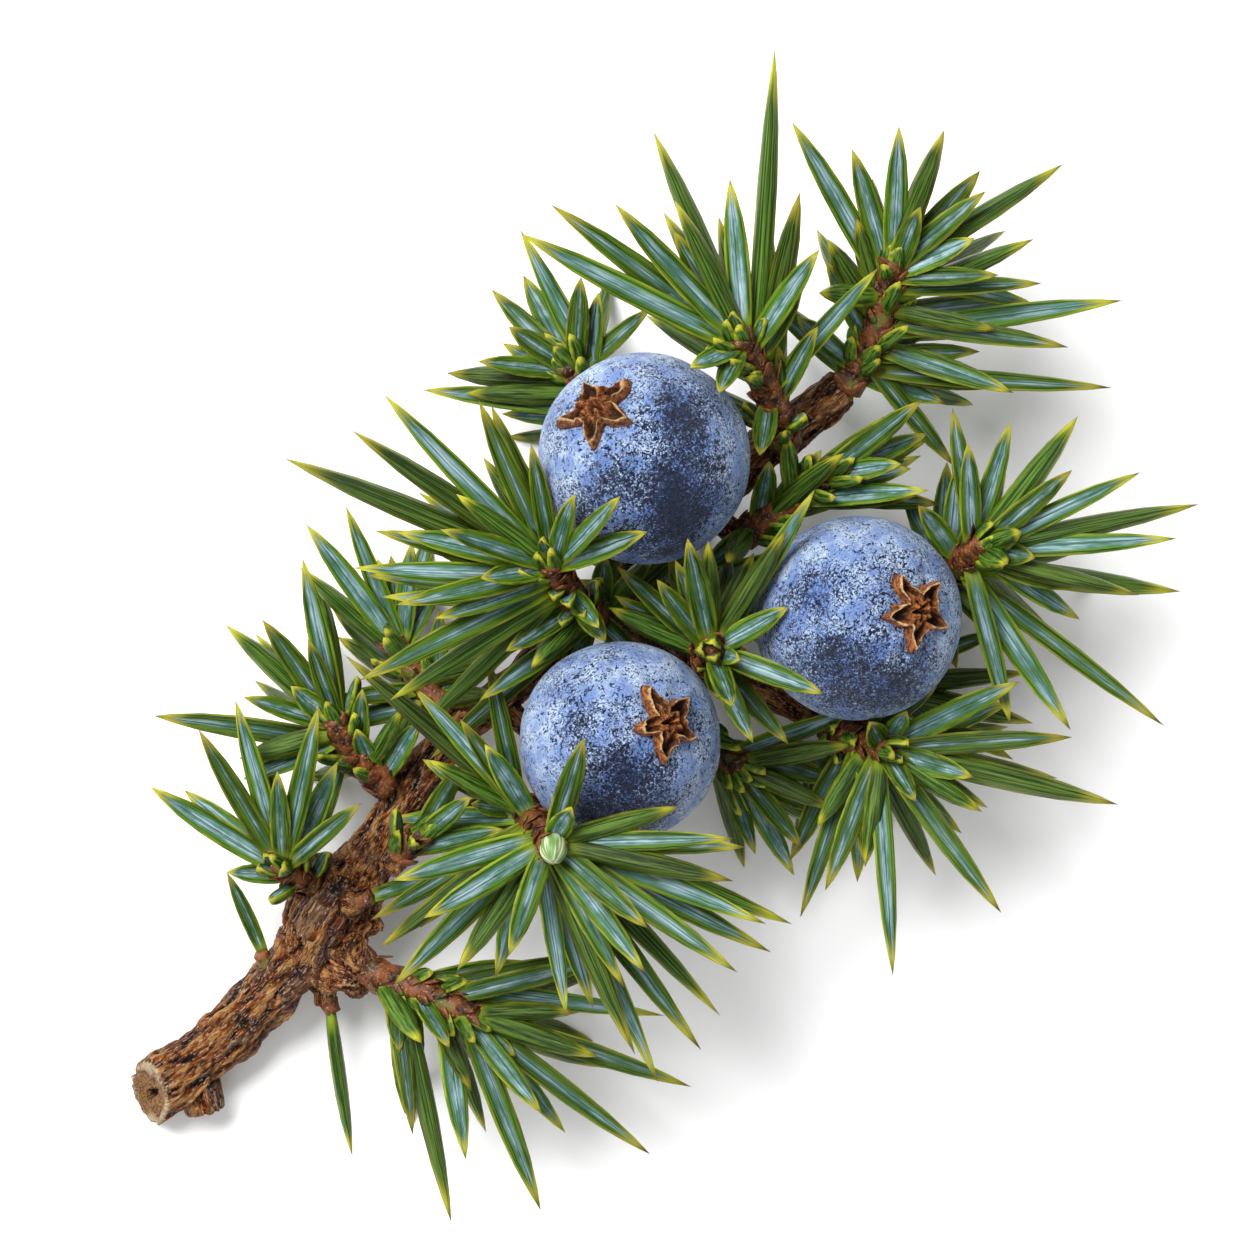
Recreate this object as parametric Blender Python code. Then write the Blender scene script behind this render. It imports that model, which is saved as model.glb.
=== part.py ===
"""Juniper berry sprig: a cut woody stem that lies on a surface, with leafy shoots and three berries.

+X runs along the stem from its cut end to its growing tip, +Z is up from the surface that the
sprig lies on, and the origin is under the middle of it. Sizes and places are in millimetres and
turned into metres as each piece is finished.
"""

import math
import random
from collections import namedtuple

import bmesh
import bpy
from mathutils import Matrix, Vector
from mathutils.bvhtree import BVHTree

NAME = "juniper_berry_sprig"
MM = 0.001
SEED = 11
UP = Vector((0, 0, 1))

# ---- driving dimensions --------------------------------------------------------------------

GAP = 0.3                 # between pieces that would touch

NEEDLE_WIDTH = 1.3        # across a needle at its widest
NEEDLE_FACE = 0.14        # how far a needle's face stands above its middle line
NEEDLE_KEEL = 0.48        # how far its keel stands below it
NEEDLE_STATIONS = (0.0, 0.35, 0.72, 1.0)      # where a needle has corners, from root to tip
NEEDLE_SHARES = (0.40, 1.0, 0.68, 0.0)        # how wide it is there
NEEDLE_SINK = 0.5         # from the middle of a shoot's core to a needle's root
NEEDLE_REST = 0.08        # middle line of a needle that is pressed on the surface
NEEDLE_GIVE = 4.0         # how sharply such a needle bends, per millimetre
LAST_ROOT = 0.7           # from the tip of a shoot's core to the roots of its last needles
FACE_LEAN = 0.45          # how far a needle's face leans to its shoot's tip
FACE_UP_SHARE = 0.7       # how many needles show their face from above
LYING_RISE = -35          # a needle that dips more than this lies on its face
STRAY_BEARING = 1         # how far a needle strays from its fan, in degrees
STRAY_RISE = 2
STRAY_LENGTH = 0.03       # and as a share of its length
ARCH = (-0.03, 0.05)      # how far it bends to its keel or its face, as a share of its length
SWEEP = (-0.03, 0.03)     # and to its sides
GIVE_STEP = 3             # how a needle turns to clear its neighbours, in degrees
GIVE_STEPS = 7            # and how many such steps it may take
SHORTER = (1, 0.85, 0.7)  # and how much shorter it may then grow
SHARED_ROOT = 0.12        # how deep needles of one shoot may overlap

CORE_RADII = (0.95, 0.7)  # of a long shoot's core, at its foot and at its tip
CORE_REACH = 4.0          # a shoot shorter than this is slimmer
BUD_STRETCH = 1.35        # a bud's length against its width
FOOT_RADII = (0.62, 0.52)        # of the twig that a shoot grows from
STALK_RADII = (0.6, 0.5, 0.5)    # of a berry's stalk
BARK_RIDGE = 0.06         # height of the bark's ridges, as a share of the stem's radius
WOOD_RING = 1.7           # from one ring of the wood's corners to the next
CUT_PLACE = (-33.2, 5.0, 1.65)      # of the slanting cut across the stem's foot
CUT_WAY = (-0.76, 0.41, 0.51)       # which way the cut looks

BERRY_DIMPLE = 0.5        # how deep a berry's skin sinks in round its crown
DIMPLE_REACH = 1.8
CROWN_LOBES = 5
CROWN_REACH = 1.9         # from a crown's middle to the points of its lobes
CROWN_WAIST = 0.92        # and to the notches between them
CROWN_THICKNESS = 0.62
CUP_DEPTH = 0.28          # of the hollow in each lobe
RING_HEIGHT = 0.30        # of the ring in the crown's middle
RIM_RISE = 0.18           # how much the crown curls up to its edge
EDGE_RISE = 0.4           # from a crown's underside to its sharp edge

FLOOR_SIZE = 100

# A stretch of wood: its route, and its radius at each point of it.
Wood = namedtuple("Wood", "route radii sides")

WOODS = {
    "main_stem": Wood(((-34.7, 5.3, 1.65), (-30.6, 4.4, 1.8), (-26.8, 4.0, 2.3), (-22.5, 3.9, 3.4),
                       (-19.7, 4.5, 4.2), (-16.6, 4.8, 4.8), (-13.5, 5.5, 5.3), (-11.3, 5.8, 5.7),
                       (-8.9, 5.8, 6.0), (-4.6, 5.3, 6.5), (1.1, 5.0, 6.9), (6.4, 4.4, 7.2),
                       (11.0, 4.2, 7.8), (14.2, 3.7, 8.3), (17.1, 3.2, 8.8)),
                      (1.6, 1.45, 1.35, 1.6, 2.1, 1.3, 1.0, 0.95, 0.9, 0.9, 0.9, 0.9, 1.0, 1.05,
                       0.95), 9),
    "front_twig": Wood(((-16.6, 4.6, 5.0), (-12.8, 3.3, 6.2), (-9.9, 1.8, 7.4)),
                       (0.75, 0.65, 0.6), 8),
    "root_stub": Wood(((-21.6, 3.3, 3.6), (-21.4, 2.0, 4.2), (-21.1, 0.9, 4.7)),
                      (1.2, 1.15, 0.9), 8),
    "right_branch": Wood(((1.1, 5.0, 6.9), (1.5, 2.0, 6.6), (2.1, -1.2, 7.2), (3.1, -4.1, 5.8),
                          (4.1, -7.4, 5.4)), (0.75, 0.7, 0.7, 0.6, 0.6), 8),
    "right_fork": Wood(((2.8, -3.1, 6.2), (6.3, -5.4, 4.4), (10.9, -6.6, 4.4)),
                       (0.6, 0.55, 0.55), 8),
    "broken_knob": Wood(((-30.6, 4.4, 1.8), (-31.9, 2.3, 1.3)), (1.0, 0.9), 8),
}

# A leafy shoot grows from a place along a stretch of wood. Its needles come fan by fan, mostly in
# whorls of three: where along the shoot they root, how many there are, which way they point seen
# from above (degrees from +X), how steeply they rise, and how long they are. Several values are
# spread evenly over the fan, from its first needle to its last. A bud radius of 0 is a shoot
# with no closed bud.
Shoot = namedtuple("Shoot", "name wood share route bud fans")
Fan = namedtuple("Fan", "where count bearing rise length")

SHOOTS = (
    Shoot("front_shoot", "front_twig", 1.0,
          ((-9.5, 1.3, 8.5), (-9.2, 0.4, 10.8), (-9.4, -1.5, 16.6)), 0.85, (
              Fan(0.93, 2, (12, 24), (50, 24), (2.8, 5.6)),
              Fan(0.90, 3, (328, 314, 302), (16, 15), (6.4, 9.0, 9.2)),
              Fan((0.84, 0.88), 3, (272, 202, 165), 24, (6.7, 5.9, 7.0)),
              Fan((0.80, 0.84), 3, (292, 278, 262), (10, 14), (11.6, 11.4, 7.6)),
              Fan((0.74, 0.80), 3, (150, 176, 190), 14, (7.2, 10.4, 7.2)),
              Fan((0.66, 0.76), 3, (297, 285, 310), (0, 4), (12.5, 12.0, 9.6)),
              Fan((0.60, 0.70), 3, (229, 241, 251), 8, (8.9, 11.7, 8.0)),
              Fan((0.50, 0.60), 4, (268, 260, 252, 242), (-4, 0), (13.0, 13.6, 13.4, 9.0)),
              Fan((0.44, 0.56), 3, (165, 172, 195), (-8, -4), (9.2, 9.7, 6.7)),
              Fan((0.30, 0.44), 4, (91, 83, 78, 72), (4, 28), (12.0, 8.4, 6.2, 5.0)),
              Fan((0.14, 0.30), 3, (51, 122, 103), (10, 16), (7.2, 2.4, 5.3)),
              Fan((0.34, 0.46), 3, (140, 210), (-24, -22), 8.0),
              Fan((0.20, 0.50), 3, (170, 300), (-42, -40), (9.0, 11.0)))),
    Shoot("left_shoot", "main_stem", 0.664,
          ((0.6, 4.4, 8.8), (0.2, 5.7, 10.8), (0.8, 8.2, 14.6)), 0, (
              Fan((0.90, 0.95), 3, (26, 6, 331), (42, 40), (5.0, 7.2, 5.9)),
              Fan((0.90, 0.95), 3, (94, 103, 142), 30, (6.1, 6.4, 3.6)),
              Fan((0.88, 0.95), 3, (88, 94, 68), (14, 10), (11.9, 11.9, 8.4)),
              Fan((0.84, 0.90), 3, (109, 101, 119), (6, 8), (13.8, 10.0, 7.3)),
              Fan((0.76, 0.86), 3, (131, 124, 138), (14, 12), (9.9, 8.8, 7.6)),
              Fan((0.60, 0.76), 3, (165, 158, 147), (12, 18), (10.2, 10.8, 6.4)),
              Fan((0.80, 0.90), 3, (58, 52, 67), (4, 10), (8.4, 6.4, 5.9)),
              Fan((0.20, 0.45), 3, (178, 167, 250), (30, 22), (4.3, 4.4, 2.7)),
              Fan((0.30, 0.60), 4, (110, 175), (-6, -10), (9.0, 10.0)),
              Fan((0.30, 0.60), 3, (66, 128), (-16, -18), (9.0, 10.0)),
              Fan((0.20, 0.40), 3, (80, 165), -38, 9.0))),
    Shoot("upper_shoot", "main_stem", 0.932,
          ((13.3, 3.8, 10.0), (14.5, 6.2, 12.4), (15.3, 8.8, 15.0)), 0, (
              Fan(0.97, 2, (162, 185), 46, (3.7, 3.2)),
              Fan(0.70, 1, 38, 14, 15.2),
              Fan((0.90, 0.95), 2, (47, 65), 10, (7.6, 10.6)),
              Fan((0.86, 0.92), 3, (67, 76, 91), (16, 6), (7.9, 6.1, 5.0)),
              Fan((0.80, 0.92), 3, (97, 104, 90), (16, 8), (12.0, 12.4, 9.0)),
              Fan((0.60, 0.80), 3, (29, 14, 4), (20, 12), (8.9, 4.4, 6.2)),
              Fan((0.15, 0.40), 3, (42, 22, 1), (34, 26), (3.9, 5.0, 7.7)),
              Fan((0.55, 0.80), 3, (40, 75), -4, (7.0, 7.6)),
              Fan((0.60, 0.90), 3, (80, 105), (-2, -6), (6.0, 7.0)),
              Fan((0.40, 0.80), 3, (35, 105), (-24, -22), (8.0, 9.0)),
              Fan((0.20, 0.50), 3, (40, 100), -46, 10.0))),
    Shoot("middle_shoot", "right_branch", 0.44,
          ((2.7, -1.0, 9.2), (3.0, -0.7, 13.6)), 0, (
              Fan((0.90, 0.95), 3, (336, 10, 302), (16, 10), (4.4, 6.8, 5.6)),
              Fan((0.80, 0.95), 3, (44, 52, 244), (26, 36), (5.4, 6.4, 3.3)),
              Fan((0.50, 0.80), 3, (6, 58, 72), (20, 26), (9.6, 4.9, 4.6)),
              Fan((0.20, 0.50), 3, (264, 89, 247), (10, 14), (5.4, 6.0, 4.6)),
              Fan((0.20, 0.40), 3, (20, 110), 0, 5.0))),
    Shoot("leader", "main_stem", 1.0,
          ((17.7, 3.2, 9.0), (19.8, 3.6, 9.6), (21.7, 4.6, 10.4), (23.5, 5.7, 11.4)), 0, (
              Fan((0.96, 1.00), 3, (40, 33, 21), (24, 18), (7.1, 7.3, 4.5)),
              Fan((0.96, 1.00), 3, (11, 343, 352), 10, (6.1, 9.4, 6.0)),
              Fan((0.80, 0.95), 3, (26, 336, 343), (30, 22), (4.2, 4.4, 3.0)),
              Fan((0.74, 0.90), 3, (71, 58, 46), (8, 4), (9.5, 6.3, 5.5)),
              Fan((0.66, 0.84), 3, (335, 320, 309), 10, (7.4, 7.6, 5.5)),
              Fan((0.40, 0.60), 3, (321, 312, 302), (4, 10), (12.0, 9.2, 5.5)),
              Fan((0.10, 0.30), 3, (307, 316, 300), (4, 8), (12.0, 5.3, 7.0)),
              Fan((0.50, 0.70), 3, (76, 63, 120), (18, 14), (4.5, 4.4, 3.4)),
              Fan((0.04, 0.20), 3, (296, 288, 276), (-8, -12), (4.5, 6.4, 6.6)),
              Fan((0.50, 1.00), 3, (45, 0), -14, 6.4),
              Fan((0.20, 0.90), 3, (340, 300), (-24, -22), 7.6),
              Fan((0.10, 0.70), 3, (300, 345), (-52, -50), (10.0, 11.0)),
              Fan((0.10, 0.70), 3, (90, 45), (-48, -50), (9.0, 10.0)))),
    Shoot("right_shoot", "right_fork", 1.0,
          ((11.4, -6.6, 4.6), (13.6, -7.0, 6.8), (15.0, -7.1, 9.2), (16.2, -7.2, 10.4)), 0, (
              Fan((0.90, 0.97), 3, (336, 313, 285), 40, (2.6, 2.6, 2.0)),
              Fan((0.84, 0.95), 3, (340, 4, 352), (18, 14), (9.4, 8.3, 6.0)),
              Fan((0.80, 0.90), 3, (24, 34, 44), (16, 12), (6.9, 5.4, 6.6)),
              Fan((0.84, 0.95), 3, (298, 315, 324), (10, 6), (8.1, 9.4, 10.8)),
              Fan((0.60, 0.80), 3, (276, 254, 236), (6, 10), (12.5, 9.5, 8.5)),
              Fan((0.70, 0.85), 3, (304, 328, 292), -4, (10.9, 6.9, 5.2)),
              Fan((0.40, 0.60), 3, (64, 37, 16), 6, (4.7, 5.3, 5.4)),
              Fan((0.50, 0.90), 3, (345, 290), -16, (5.8, 6.6)),
              Fan((0.40, 0.70), 2, (40, 5), -10, 5.4),
              Fan((0.20, 0.80), 4, (380, 270), -48, (10.0, 12.0)))),
    Shoot("low_right_shoot", "right_branch", 1.0,
          ((4.3, -8.2, 6.4), (4.9, -10.0, 8.7), (5.3, -10.8, 10.2)), 0, (
              Fan((0.90, 0.97), 3, (255, 15, 53), 36, (3.3, 2.4, 2.6)),
              Fan((0.80, 0.95), 3, (340, 318, 299), (14, 8), (7.6, 9.0, 11.5)),
              Fan((0.80, 0.95), 3, (257, 280, 290), (12, 18), (10.0, 5.4, 4.6)),
              Fan((0.74, 0.84), 3, (226, 199, 212), (14, 12), (11.6, 7.4, 5.6)),
              Fan((0.60, 0.76), 3, (302, 322, 284), (0, 4), (9.3, 5.4, 5.6)),
              Fan((0.40, 0.60), 3, (205, 222, 190), (4, 0), (8.7, 5.6, 4.4)),
              Fan((0.30, 0.60), 3, (195, 250), -24, (7.0, 8.0)),
              Fan((0.40, 0.70), 3, (270, 330), (-22, -20), 7.4),
              Fan((0.20, 0.70), 3, (200, 320), -50, 10.0))),
    Shoot("inner_shoot", "main_stem", 0.824,
          ((8.8, 1.8, 8.2), (11.4, 1.2, 9.2), (13.8, 0.9, 10.4)), 0, (
              Fan((0.80, 1.00), 3, (351, 344, 337), (26, 20), (6.9, 5.4, 4.0)),
              Fan((0.10, 0.50), 3, (353, 343, 56), (36, 30), (6.4, 4.4, 3.6)),
              Fan((0.50, 0.90), 3, (312, 323, 332), (8, 4), (5.6, 4.6, 5.6)),
              Fan((0.06, 0.20), 2, (31, 10), (40, 36), (3.8, 4.2)),
              Fan((0.10, 0.50), 3, (352, 330), (14, 8), (8.0, 7.0)),
              Fan((0.30, 1.00), 3, (340, 305), (-8, -12), (6.0, 7.0)),
              Fan((0.20, 0.90), 3, (330, 300), (-40, -46), (7.0, 8.0)))),
    Shoot("low_left_shoot", "main_stem", 0.254,
          ((-19.4, 6.4, 6.2), (-19.8, 8.0, 8.8)), 0, (
              Fan((0.70, 1.00), 3, (101, 73, 59), (12, 14), (7.6, 8.1, 8.8)),
              Fan((0.80, 1.00), 3, (43, 34, 354), (26, 30), (5.0, 8.7, 5.9)),
              Fan((0.30, 0.60), 3, (129, 37, 18), (6, 10), (3.0, 4.4, 5.7)),
              Fan((0.30, 0.60), 3, (20, 95), -18, 6.6))),
    Shoot("side_left_shoot", "main_stem", 0.391,
          ((-13.1, 6.9, 6.2), (-13.0, 9.1, 7.0), (-12.3, 11.0, 8.0)), 0, (
              Fan((0.84, 1.00), 3, (75, 54, 89), (14, 10), (6.6, 8.1, 7.3)),
              Fan((0.84, 1.00), 3, (93, 62, 104), (26, 22), (3.0, 4.6, 4.7)),
              Fan((0.60, 0.80), 3, (123, 156, 146), (2, 4), (9.4, 5.2, 4.8)),
              Fan((0.10, 0.40), 3, (63, 10, 40), (44, 38), (3.0, 4.0, 3.6)),
              Fan((0.40, 0.90), 3, (120, 50), (-24, -20), (6.6, 7.6)),
              Fan((0.30, 0.80), 3, (140, 60), -50, (9.0, 10.0)))),
    Shoot("back_left_shoot", "main_stem", 0.503,
          ((-8.3, 7.2, 5.6), (-8.0, 9.2, 5.5), (-7.5, 11.4, 5.6)), 0, (
              Fan((0.70, 1.00), 3, (64, 74, 36), (8, 12), (8.2, 7.6, 5.4)),
              Fan((0.60, 1.00), 3, (91, 58, 24), (4, 2), (7.3, 4.6, 4.0)),
              Fan((0.10, 0.30), 2, (155, 141), (10, 14), (6.1, 4.4)),
              Fan((0.30, 1.00), 3, (94, 30), (-24, -20), 6.6),
              Fan((0.20, 0.80), 3, (100, 30), -50, 9.5))),
    Shoot("root_shoot", "root_stub", 1.0,
          ((-20.6, 0.6, 5.0), (-19.5, -2.2, 5.8), (-18.7, -4.8, 6.6)), 0, (
              Fan((0.02, 0.14), 2, (255, 231), 34, (4.3, 3.4)),
              Fan((0.15, 0.30), 3, (232, 236, 220), (12, 4), (7.8, 11.7, 4.6)),
              Fan((0.50, 0.80), 3, (247, 229, 273), (18, 12), (5.2, 7.8, 3.4)),
              Fan((0.84, 1.00), 3, (245, 275, 296), (8, 12), (10.2, 11.1, 11.7)),
              Fan((0.84, 1.00), 3, (266, 296, 313), 20, (6.5, 7.0, 5.4)),
              Fan((0.20, 0.60), 3, (308, 314, 322), (10, 14), (13.3, 9.0, 9.0)),
              Fan((0.20, 0.90), 3, (225, 262), (-22, -20), (7.0, 8.0)),
              Fan((0.30, 1.00), 3, (322, 288), (-24, -18), (6.4, 7.4)),
              Fan((0.20, 0.90), 4, (230, 330), (-42, -46), (10.0, 11.0)))),
    Shoot("behind_berry_shoot", "main_stem", 0.742,
          ((8.1, 9.0, 5.4), (8.6, 12.1, 6.0), (8.8, 14.4, 6.6)), 0, (
              Fan((0.20, 1.00), 3, (69, 76, 94), 4, (11.2, 3.6, 3.6)),
              Fan((0.50, 0.90), 3, (96, 91, 118), (2, 6), (5.5, 6.5, 4.4)),
              Fan((0.40, 0.80), 3, (126, 138, 132), (-4, 0), (8.9, 6.2, 6.7)),
              Fan((0.70, 1.00), 3, (40, 10, 24), (12, 16), (4.4, 4.6, 4.6)),
              Fan((0.30, 1.00), 2, (130, 80), (-24, -22), 6.0),
              Fan((0.14, 0.76), 3, (130, 30), (-48, -50), 9.0))),
    Shoot("between_shoot", "right_branch", 0.46,
          ((-0.3, -2.8, 5.2), (-0.8, -4.6, 5.6), (-0.3, -6.2, 6.4)), 0, (
              Fan((0.40, 1.00), 3, (306, 298, 262), (4, 0), (6.6, 5.6, 5.0)),
              Fan((0.30, 0.90), 3, (267, 242, 280), (-6, -2), (4.6, 4.6, 4.4)),
              Fan((0.60, 1.00), 2, (338, 325), (12, 8), (7.2, 6.0)),
              Fan((0.30, 1.00), 3, (300, 255), (-26, -22), 6.4),
              Fan((0.20, 0.80), 3, (200, 280), -46, 8.5))),
    Shoot("fork_shoot", "front_twig", 0.3,
          ((-15.0, 3.7, 7.9), (-13.4, 3.6, 8.9)), 0, (
              Fan((0.10, 1.00), 3, (342, 8, 352), (14, 24), (5.6, 4.6, 4.6)),)),
    Shoot("knot_needle", "main_stem", 0.29,
          ((-18.4, 3.7, 6.3), (-17.8, 3.4, 6.7)), 0, (
              Fan(0.60, 1, 339, 8, 4.4),)),
    Shoot("old_needle", "main_stem", 0.152,
          ((-24.0, 5.1, 3.9), (-23.9, 5.7, 4.2)), 0, (
              Fan(0.60, 1, 64, 6, 4.6),)),
    Shoot("stub_needle", "root_stub", 0.1,
          ((-23.5, 1.3, 2.6), (-23.7, 0.8, 2.6)), 0, (
              Fan(0.60, 1, 229, -4, 7.6),)),
    Shoot("under_right_shoot", "right_fork", 0.5,
          ((6.5, -6.9, 3.4), (7.6, -8.9, 3.2)), 0, (
              Fan((0.20, 1.00), 4, (330, 285), -8, 8.0),
              Fan((0.20, 1.00), 3, (200, 260), -26, 8.0),
              Fan((0.30, 1.00), 3, (350, 230), -46, 8.0))),
    Shoot("under_middle_shoot", "main_stem", 0.669,
          ((2.5, 4.1, 4.9), (3.3, 2.4, 4.2), (5.0, 1.3, 4.0)), 0, (
              Fan((0.30, 1.00), 3, (330, 285), (-14, -18), 8.0),
              Fan((0.30, 1.00), 3, (40, 110), -18, (8.0, 7.0)),
              Fan((0.20, 1.00), 3, (0, 240), -50, 8.0))),
)

# A berry on its stalk: its middle, its radius, how much longer it is than wide, and which way
# its crown looks.
Berry = namedtuple("Berry", "name wood share centre radius stretch crown_way")

BERRIES = (
    Berry("upper", "main_stem", 0.781, (7.7, 8.1, 13.2), 5.25, 1.0, (0.03, 0.62, 0.78)),
    Berry("right", "right_fork", 0.28, (9.1, -5.1, 10.9), 5.1, 1.05, (0.40, -0.34, 0.85)),
    Berry("lower", "main_stem", 0.557, (-3.4, -0.5, 11.9), 5.0, 1.0, (0.46, -0.21, 0.86)),
)

MATERIALS = {
    "bark": ((0.30, 0.17, 0.09), 0.85),
    "needles": ((0.13, 0.28, 0.14), 0.5),
    "berry_skin": ((0.22, 0.30, 0.52), 0.6),
    "crown": ((0.38, 0.20, 0.09), 0.8),
}


# ---- meshes and objects --------------------------------------------------------------------

def clear_scene():
    for obj in list(bpy.data.objects):
        bpy.data.objects.remove(obj)


def new_collection(name):
    collection = bpy.data.collections.new(name)
    bpy.context.scene.collection.children.link(collection)
    return collection


def new_material(name, colour, roughness):
    material = bpy.data.materials.new(name)
    material.use_nodes = True
    shader = material.node_tree.nodes["Principled BSDF"]
    shader.inputs["Base Color"].default_value = (*colour, 1)
    shader.inputs["Roughness"].default_value = roughness
    shader.inputs["Metallic"].default_value = 0.0
    return material


def add_object(name, bm, collection):
    """An object with a mesh of its own, in millimetres."""
    bmesh.ops.recalc_face_normals(bm, faces=bm.faces)
    mesh = bpy.data.meshes.new(name)
    bm.to_mesh(mesh)
    bm.free()
    obj = bpy.data.objects.new(name, mesh)
    collection.objects.link(obj)
    return obj


def straight_tube(sides, rings):
    """A closed tube of radius 1 along +Z from 0 to 1, with rings of corners along it."""
    bm = bmesh.new()
    bmesh.ops.create_cone(bm, cap_ends=True, segments=sides, radius1=1, radius2=1, depth=1)
    bmesh.ops.translate(bm, vec=(0, 0, 0.5), verts=bm.verts)
    if rings > 2:
        lengthwise = [e for e in bm.edges if abs(e.verts[0].co.z - e.verts[1].co.z) > 0.5]
        bmesh.ops.subdivide_edges(bm, edges=lengthwise, cuts=rings - 2, use_grid_fill=True)
    return bm


def join(base, parts):
    """Joins the objects of a collection to one object in one union, and removes the parts."""
    union = base.modifiers.new("join", "BOOLEAN")
    union.operation = "UNION"
    union.operand_type = "COLLECTION"
    union.collection = parts
    apply_modifiers(base)
    for obj in list(parts.objects):
        bpy.data.objects.remove(obj)
    bpy.data.collections.remove(parts)
    return base


def press(obj, floor):
    """Cuts off what of an object is below the floor."""
    cut = obj.modifiers.new("press", "BOOLEAN")
    cut.operation = "DIFFERENCE"
    cut.object = floor
    apply_modifiers(obj)
    return obj


def apply_modifiers(obj):
    bpy.context.view_layer.update()
    shape = obj.evaluated_get(bpy.context.evaluated_depsgraph_get())
    obj.data = whole_of(bpy.data.meshes.new_from_object(shape))
    obj.modifiers.clear()


def whole_of(mesh):
    """A mesh without the loose scraps and sealed hollows that a union can leave."""
    bm = bmesh.new()
    bm.from_mesh(mesh)
    left, bodies = set(bm.faces), []
    while left:
        body, ahead = set(), [left.pop()]
        while ahead:
            face = ahead.pop()
            body.add(face)
            near = {other for edge in face.edges for other in edge.link_faces} & left
            left -= near
            ahead += near
        bodies.append(body)
    biggest = max(bodies, key=len)
    bmesh.ops.delete(bm, geom=[face for face in bm.faces if face not in biggest],
                     context="FACES")
    bm.to_mesh(mesh)
    bm.free()
    return mesh


def finish(obj, material, origin, parent, smooth):
    """Gives an object its material, puts its origin where the piece grows from, and brings it
    from millimetres to metres."""
    obj.data.transform(Matrix.Scale(MM, 4) @ Matrix.Translation(-Vector(origin)))
    obj.location = Vector(origin) * MM
    obj.parent = parent
    obj.data.materials.clear()
    obj.data.materials.append(material)
    obj.data.polygons.foreach_set("use_smooth", [smooth] * len(obj.data.polygons))


# ---- routes and tubes ----------------------------------------------------------------------

def pick(value, share):
    """The value at a share of the way along evenly spaced values; or a single value."""
    if not isinstance(value, tuple):
        return value
    place = share * (len(value) - 1)
    index = min(int(place), len(value) - 2)
    return value[index] + (value[index + 1] - value[index]) * (place - index)


def along(route, share):
    """The point at a share of a route's length, which way it runs there, and between which
    two of its points that is."""
    points = [Vector(point) for point in route]
    legs = [(end - start).length for start, end in zip(points, points[1:])]
    left = share * sum(legs)
    for index, leg in enumerate(legs):
        if left <= leg or index == len(legs) - 1:
            break
        left -= leg
    part = min(left / leg, 1)
    start, end = points[index], points[index + 1]
    return start.lerp(end, part), (end - start).normalized(), index + part


def square_to(ahead):
    """Two directions square to a third: one level, one as far up as it can be."""
    side = UP.cross(ahead)
    side = side.normalized() if side.length > 0.05 else Vector((0, 1, 0))
    return side, ahead.cross(side)


def tube(route, radii, sides, rings, ridge=0.0, swell=0.0):
    """A straight tube bent along a route."""
    bm = straight_tube(sides, rings)
    steps = len(route) - 1
    for corner in bm.verts:
        point, ahead, place = along(route, corner.co.z)
        before = min(int(place), steps - 1)
        radius = pick((radii[before], radii[before + 1]), place - before)
        side, up = square_to(ahead)
        turn = math.atan2(corner.co.y, corner.co.x)
        lift = 1 + ridge * (math.cos(3 * turn + 9 * corner.co.z) + math.cos(40 * corner.co.z))
        reach = radius * lift + swell
        corner.co = point + reach * (corner.co.x * side + corner.co.y * up)
    return bm


def length_of(route):
    return sum((Vector(b) - Vector(a)).length for a, b in zip(route, route[1:]))


def foot_route(shoot):
    """The twig under a shoot: from inside the wood to a small gap below the shoot. The more it
    leans from the shoot, the shorter it stops."""
    start = along(WOODS[shoot.wood].route, shoot.share)[0]
    first, second = Vector(shoot.route[0]), Vector(shoot.route[1])
    ahead = (second - first).normalized()
    lean = ahead.cross((first - start).normalized()).length
    return start, first - (GAP + lean * FOOT_RADII[1]) * ahead


def stalk_route(berry):
    """A berry's stalk: from inside the wood to a small gap below the berry."""
    start = along(WOODS[berry.wood].route, berry.share)[0]
    under = -Vector(berry.crown_way).normalized()
    reach = berry.radius * berry.stretch + GAP
    centre = Vector(berry.centre)
    return start, centre + (reach + 0.9) * under, centre + reach * under


def cut_foot(bm):
    """Cuts the stem off at its foot, at a slant."""
    everything = bm.verts[:] + bm.edges[:] + bm.faces[:]
    cut = bmesh.ops.bisect_plane(bm, geom=everything, plane_co=CUT_PLACE, plane_no=CUT_WAY,
                                 clear_outer=True)
    rim = [item for item in cut["geom_cut"] if isinstance(item, bmesh.types.BMEdge)]
    bmesh.ops.holes_fill(bm, edges=rim)


def wood_tubes(swell=0.0, ridge=BARK_RIDGE):
    """Every stretch of wood, as a mesh of its own, the main stem first."""
    tubes = []
    for wood in WOODS.values():
        rings = max(3, round(length_of(wood.route) / WOOD_RING))
        tubes.append(tube(wood.route, wood.radii, wood.sides, rings, ridge, swell))
    cut_foot(tubes[0])
    for shoot in SHOOTS:
        tubes.append(tube(foot_route(shoot), FOOT_RADII, 6, 2, 0, swell))
    for berry in BERRIES:
        tubes.append(tube(stalk_route(berry), STALK_RADII, 6, 3, 0, swell))
    return tubes


# ---- berries and crowns --------------------------------------------------------------------

def dimple(reach, turn):
    """How far a berry's skin sinks at a distance from its crown's middle, with a fold for each
    of the crown's lobes."""
    fold = 1 + 0.25 * math.cos(CROWN_LOBES * turn)
    return BERRY_DIMPLE * fold * math.exp(-(reach / DIMPLE_REACH) ** 2)


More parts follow.
